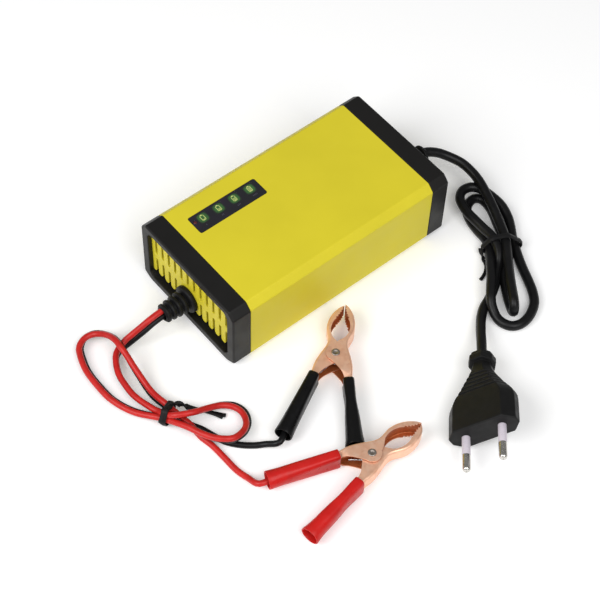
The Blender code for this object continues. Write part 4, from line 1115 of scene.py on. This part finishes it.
def make_plug_body(place):
    """The plug's body, with grip ribs, an eight-sided collar and a socket for each pin."""
    rings = [plug_section(16.7, 6.1, 4.5, 0.0), plug_section(17.3, 6.6, 4.6, 0.2),
             plug_section(17.55, 6.8, 4.7, 0.55)]
    levels = [(y, 0.0) for y in (1.0, 2.0, 5.0, 9.0, 13.0, 16.0, 18.0, 19.6)]
    for i in range(GRIP_RIBS):
        y = GRIP_RIB_FIRST + i * GRIP_RIB_PITCH
        levels += [(y, 0.0), (y + 0.22, GRIP_GROOVE), (y + 1.05, GRIP_GROOVE), (y + 1.35, 0.12),
                   (y + 1.55, 0.0), (y + 2.3, 0.0)]
    levels += [(y, 0.0) for y in (34.0, 36.0, 38.0, 39.4)]
    for y, groove in levels:
        width, height, corner = plug_profile(y)
        rings.append(plug_section(width, height - groove, corner - groove * 0.6, y))
    for radius, y in ((6.0, 39.55), (6.35, 39.8), (6.5, 40.3), (6.5, 42.6), (6.35, 43.1),
                      (5.7, 43.25), (5.5, 43.4), (5.5, 44.9), (5.3, 45.3), (4.9, PLUG_CORD_END)):
        rings.append(plug_section(radius, radius, radius * 0.5, y))
    body = solid("plug_housing", moved(loft(rings), place))
    sockets = [moved(along_y(rod(PIN_RADIUS + 0.12, 0, 5.0, count=40), x, 3.0, 0, -1), place)
               for x in PIN_PLACES]
    carved(body, "DIFFERENCE", sockets)
    return dressed(body, "plug_black", stands_for=["plug_body"], bevel=0.25, angle=30.0)


def make_plug():
    """The plug: its body, two pins with rounded tips and their insulating sleeves."""
    place = plug_matrix()
    pieces = [make_plug_body(place)]
    radius, tip, collar = PIN_RADIUS, PIN_LENGTH, PIN_SLEEVE_LENGTH
    core = radius - 0.6
    bore = core + 0.05
    pin = [(0.01, -2.6), (core, -2.6), (core, collar), (radius - 0.1, collar + 0.05),
           (radius, collar + 0.15), (radius, tip - 1.6), (radius - 0.15, tip - 0.9),
           (radius - 0.55, tip - 0.3), (radius - 1.1, tip - 0.03), (0.5, tip), (0.3, tip - 0.15),
           (0.01, tip - 0.2)]
    sleeve = [(radius, -2.0), (radius, collar - 0.35), (radius - 0.12, collar - 0.12),
              (bore, collar - 0.1), (bore, -2.0)]
    for number, x in enumerate(PIN_PLACES, 1):
        for name, node, profile, closed, look in (
            (f"contact_pin_{number}", f"plug_pin_{number}", pin, False, "pin_metal"),
            (f"pin_insulation_{number}", f"pin_sleeve_{number}", sleeve, True, "pin_white"),
        ):
            shape = moved(along_y(turned(profile, 40, closed), x, 0, 0, -1), place)
            pieces.append(dressed(solid(name, shape), look, stands_for=[node]))
    return pieces


# ---------------------------------------------------------------- battery clamps

CLAMP_SHEET = 0.8
RIVET_RADIUS = 1.2
# One half's edges in plan, as (u, v): the outer one from the tip back, the jaw's inner one, and the
# arch between the lobe and the handle.
HALF_OUTER = ((28.5, 0.2), (27.6, 2.0), (25.6, 3.8), (22.6, 5.5), (18.6, 6.6), (14.5, 6.7),
              (11.0, 5.7), (8.5, 5.0), (6.0, 5.0), (3.0, 5.9), (-1.0, 7.6), (-6.0, 9.2),
              (-12.0, 10.0))
JAW_EDGE = ((20.6, 2.9), (18.6, 4.0), (14.6, 4.6), (10.2, 3.4), (7.0, 0.2))
ARCH = ((-5.6, 0.2), (-7.4, 2.4), (-9.6, 4.6), (-12.2, 6.2))
TEETH = 5
LOBE_RADIUS = 4.6
HANDLE_WIDTH = 3.4
# Half the height of a half along its handle, as (u, half height).
HANDLE_TAPER = ((-8.5, 5.0), (-12.3, 4.1), (-42.5, 3.2))
BEND_RADIUS = 1.3


def outer_edge():
    """The bent edge in plan, from the jaw's tip to the handle's end."""
    return smooth_run(HALF_OUTER) + [Vector((HANDLE_END[0], HANDLE_END[1] + HANDLE_WIDTH / 2))]


def inward_normals(points):
    normals = []
    for i in range(len(points)):
        run = run_at(points, i)
        normals.append(Vector((-run.y, run.x)).normalized())
    return normals


def open_edge():
    """The open edge in plan, from the handle's end past the lobe to the teeth at the tip."""
    points = [(HANDLE_END[0], HANDLE_END[1] - HANDLE_WIDTH / 2)]
    points += [tuple(p) for p in smooth_run(ARCH[::-1], 4)]
    points += arc((0, 0), LOBE_RADIUS, 200, 340, 16)
    points += [tuple(p) for p in smooth_run(JAW_EDGE[::-1], 4)]
    tip, root = Vector((28.2, 0.2)), Vector((21.2, 2.8))
    bow = Vector((0.35, 0.9)) * 0.9
    for i in range(TEETH):
        for share, depth in ((0.0, 0.55), (0.25, 0.5), (0.6, 0.0), (0.8, 0.05)):
            t = (i + share) / TEETH
            point = root.lerp(tip, t) - bow * 4 * t * (1 - t) * 0.5
            points.append((point.x, max(point.y + depth, 0.2)))
    return points


def bent_rings(edge, normals, rest, half_height, radius, depth=0.0):
    """Rings up through a bent plate: its edge curls in over the bend radius, the rest doesn't."""
    steps = 6
    levels = []
    for k in range(steps + 1):
        a = math.radians(90 * k / steps)
        levels.append((-half_height + radius * (1 - math.cos(a)), radius * (1 - math.sin(a))))
    levels += [(-z, inset) for z, inset in levels[::-1]]
    rings = []
    for z, inset in levels:
        ring = []
        for i, (point, normal) in enumerate(zip(edge, normals)):
            ease = min(1.0, i / 8)
            place = point + normal * (depth + inset * ease)
            ring.append((place.x, place.y, z))
        rings.append(ring + [(u, v, z) for u, v in rest])
    return rings


def tapered(shape, half_height):
    """Narrows a half towards the end of its handle."""
    for u, _ in HANDLE_TAPER[:2]:
        geometry = shape.verts[:] + shape.edges[:] + shape.faces[:]
        bmesh.ops.bisect_plane(shape, geom=geometry, plane_co=(u, 0, 0), plane_no=(1, 0, 0))
    for vertex in shape.verts:
        for (u0, h0), (u1, h1) in zip(HANDLE_TAPER, HANDLE_TAPER[1:]):
            if u1 - 0.01 <= vertex.co.x <= u0 + 0.01:
                share = (vertex.co.x - u0) / (u1 - u0)
                vertex.co.z *= min(1.0, (h0 + (h1 - h0) * share) / half_height)
    return shape


def make_half(name, node, height, matrix, side, body):
    """A channel-shaped half of pressed sheet. side is 1 for the +V half, -1 for its mirror image."""
    mirror = Matrix.Diagonal((1, side, 1, 1))
    edge = outer_edge()
    normals = inward_normals(edge)
    half = height / 2
    plate = loft(bent_rings(edge, normals, open_edge(), half, BEND_RADIUS))
    clamp_half = solid(name, moved(moved(tapered(plate, half), mirror), matrix))
    beyond = edge[:-1] + [edge[-1] + Vector((-2.0, 0.5))]
    beyond[0] = Vector((28.0, 0.2))
    channel = bent_rings(beyond, normals, [(HANDLE_END[0] - 2, -12.0), (27.2, -12.0)],
                         half - CLAMP_SHEET, BEND_RADIUS - CLAMP_SHEET, CLAMP_SHEET)
    cut = moved(moved(tapered(loft(channel), half), mirror), matrix)
    hole = moved(rod(RIVET_RADIUS + 0.15, -height, height), matrix)
    carved(clamp_half, "DIFFERENCE", [cut, hole])
    dressed(clamp_half, "clamp_copper", body=body, stands_for=[node], bevel=0.13)
    return paint_shade_inside(clamp_half, matrix, side, half)


def paint_shade_inside(clamp_half, matrix, side, half):
    """Gives the faces inside the channel a darker, redder copper: painted shade, where the channel lies in shadow.
    """
    clamp_half.data.materials.append(LOOKS["copper_painted_shade"])
    back = matrix.inverted()
    for face in clamp_half.data.polygons:
        place = back @ (face.center / MM)
        normal = back.to_3x3() @ face.normal
        web = abs(normal.z) < 0.6 and normal.y * side < -0.1
        flange = normal.z * place.z < 0 and abs(normal.z) >= 0.6
        if abs(place.z) < half - 0.5 and place.length > RIVET_RADIUS + 0.4 and (web or flange):
            face.material_index = 1
    return clamp_half


def grip_ring(t, thinner, out, waisted):
    """A grip's section at t along it: tall and flat at the jaws, round and wide at the open end."""
    flare = 0.35 * waisted * max(0.0, (t - 0.82) / 0.18) ** 2
    waist = 0.45 * waisted * math.exp(-((t - 0.33) / 0.16) ** 2)
    flat = 2.85 + 1.65 * t ** 1.3 + flare - waist - thinner
    tall = 5.6 - 1.05 * t + flare * 0.6 - thinner
    power = 2.0 / (4.4 - 2.4 * min(1.0, t * 1.25))
    run = (Vector(GRIP_END) - Vector(GRIP_START)).normalized()
    centre = Vector(GRIP_START).lerp(Vector(GRIP_END), t) + run * out
    across = Vector((-run.y, run.x))
    dent = 0.55 * (1.0 - t) ** 1.5
    points = []
    for c, s in circle(1.0, 40):
        wide = math.copysign(abs(c) ** power, c) * flat
        high = math.copysign(abs(s) ** power, s) * tall
        if c > 0:
            wide -= dent * c * math.exp(-(high / 2.6) ** 2)
        place = centre + across * wide
        points.append((place.x, place.y, high))
    return points


def make_grip(name, node, matrix, side, body, look):
    """A dipped vinyl grip over the handle. The free half's grip is waisted and flared."""
    wall = 0.75
    # Each station is how far along the grip it is, how much thinner there, and how far pushed out.
    stations = [(0.0, 0.55, 0.35), (0.0, 0.2, 0.1), (0.0, 0.0, 0.45)]
    stations += [(i / 14, 0.0, 0.0) for i in range(1, 14)]
    stations += [(1.0, 0.0, -0.4), (1.0, 0.1, -0.1), (1.0, wall / 2, 0.0), (1.0, wall - 0.1, -0.1),
                 (1.0, wall, -0.4)]
    stations += [(i / 14, wall, 0.0) for i in range(13, 0, -1)]
    stations += [(0.0, wall, 0.6)]
    rings = [grip_ring(*station, waisted=1.0 if side < 0 else 0.0) for station in stations]
    shape = moved(moved(loft(rings, closed=True), Matrix.Diagonal((1, side, 1, 1))), matrix)
    return dressed(solid(name, shape), look, body=body, stands_for=[node])


def make_rivet(name, node, matrix):
    """A semi-tubular rivet with rolled heads."""
    head = CLAMP_HEIGHT / 2 + 0.05
    half = [(0.01, head + 0.12), (0.6, head + 0.14), (0.85, head + 0.26), (1.15, head + 0.42),
            (1.55, head + 0.5), (1.9, head + 0.38), (2.05, head + 0.18), (2.05, head),
            (RIVET_RADIUS, head - 0.02), (RIVET_RADIUS, 0.0)]
    lower = [(radius, -z) for radius, z in half[:-1]]
    shape = moved(turned(half + lower[::-1], 40), matrix)
    return dressed(solid(name, shape), "dull_steel", stands_for=[node])


def make_spring(name, node, matrix):
    """A torsion spring round the rivet, with a leg out to each handle."""
    radius, wire, turns, pitch = 2.3, 0.8, 3.4, 1.0
    low = -turns * pitch / 2
    points = [Vector((-8.6, 6.0, low)), Vector((-6.6, 4.7, low))]
    count = 96
    for i in range(count + 1):
        a = math.radians(145) + 2 * math.pi * turns * i / count
        points.append(Vector((radius * math.cos(a), radius * math.sin(a), low + turns * pitch * i / count)))
    points += [Vector((-6.6, -4.7, -low)), Vector((-8.6, -6.0, -low))]
    path = tube("spring_path", [matrix @ p for p in points], wire, 5)
    spring = added(name, evaluated_mesh(path))
    bpy.data.curves.remove(path.data)
    spring.data.name = name
    spring.data.materials.clear()
    spring.data.materials.append(LOOKS["steel"])
    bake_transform(spring)
    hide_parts(node)
    return spring


def make_clamp(colour, fixed_height, moving_height, grip):
    """A battery clamp: its wired half stays with the lead, the other turns on the rivet."""
    matrix = clamp_matrix(colour)
    jaw = f"{colour}_clamp_jaw"
    halves = (("wired", "fixed", 1, fixed_height, "charger"), ("sprung", "moving", -1, moving_height, jaw))
    pieces = [make_half(f"{colour}_{kind}_half", f"{colour}_clamp_{part}_half", height, matrix, side, body)
              for kind, part, side, height, body in halves]
    pieces += [make_grip(f"{colour}_{kind}_grip", f"{colour}_clamp_{part}_sleeve", matrix, side, body, grip)
               for kind, part, side, _, body in halves]
    pieces.append(make_rivet(f"{colour}_hollow_rivet", f"{colour}_clamp_rivet", matrix))
    pieces.append(make_spring(f"{colour}_torsion_spring", f"{colour}_clamp_spring", matrix))
    return pieces


# ---------------------------------------------------------------- everything

LOOKS = make_materials()
make_camera()
make_stage()
make_case_sleeve()
make_bezel("front_frame", "front_bezel", -1)
make_bezel("rear_frame", "rear_bezel", 1)
make_grille("front_grille_comb", "front_grille", -1, *RELIEF_AXES["output_strain_relief"])
make_grille("rear_grille_comb", "rear_grille", 1, *RELIEF_AXES["mains_strain_relief"])
make_case_screws()
make_display()
output_relief = make_strain_relief("output_bush", "output_strain_relief", -1, 3.3)
mains_relief = make_strain_relief("mains_bush", "mains_strain_relief", 1, 2.9)
output_tie, mains_tie = make_ties()
plug_pieces = make_plug()
black_clamp = make_clamp("black", INNER_HALF_HEIGHT, CLAMP_HEIGHT, "grip_black")
red_clamp = make_clamp("red", CLAMP_HEIGHT, INNER_HALF_HEIGHT, "grip_red")
make_cords([output_relief, output_tie] + red_clamp, black_clamp)
for entry in frame["record"]["subparts"]:
    node = frame["nodes"][entry["node"]]
    node.data.materials.clear()
    node.data.materials.append(LOOKS[entry["material_slot"]])
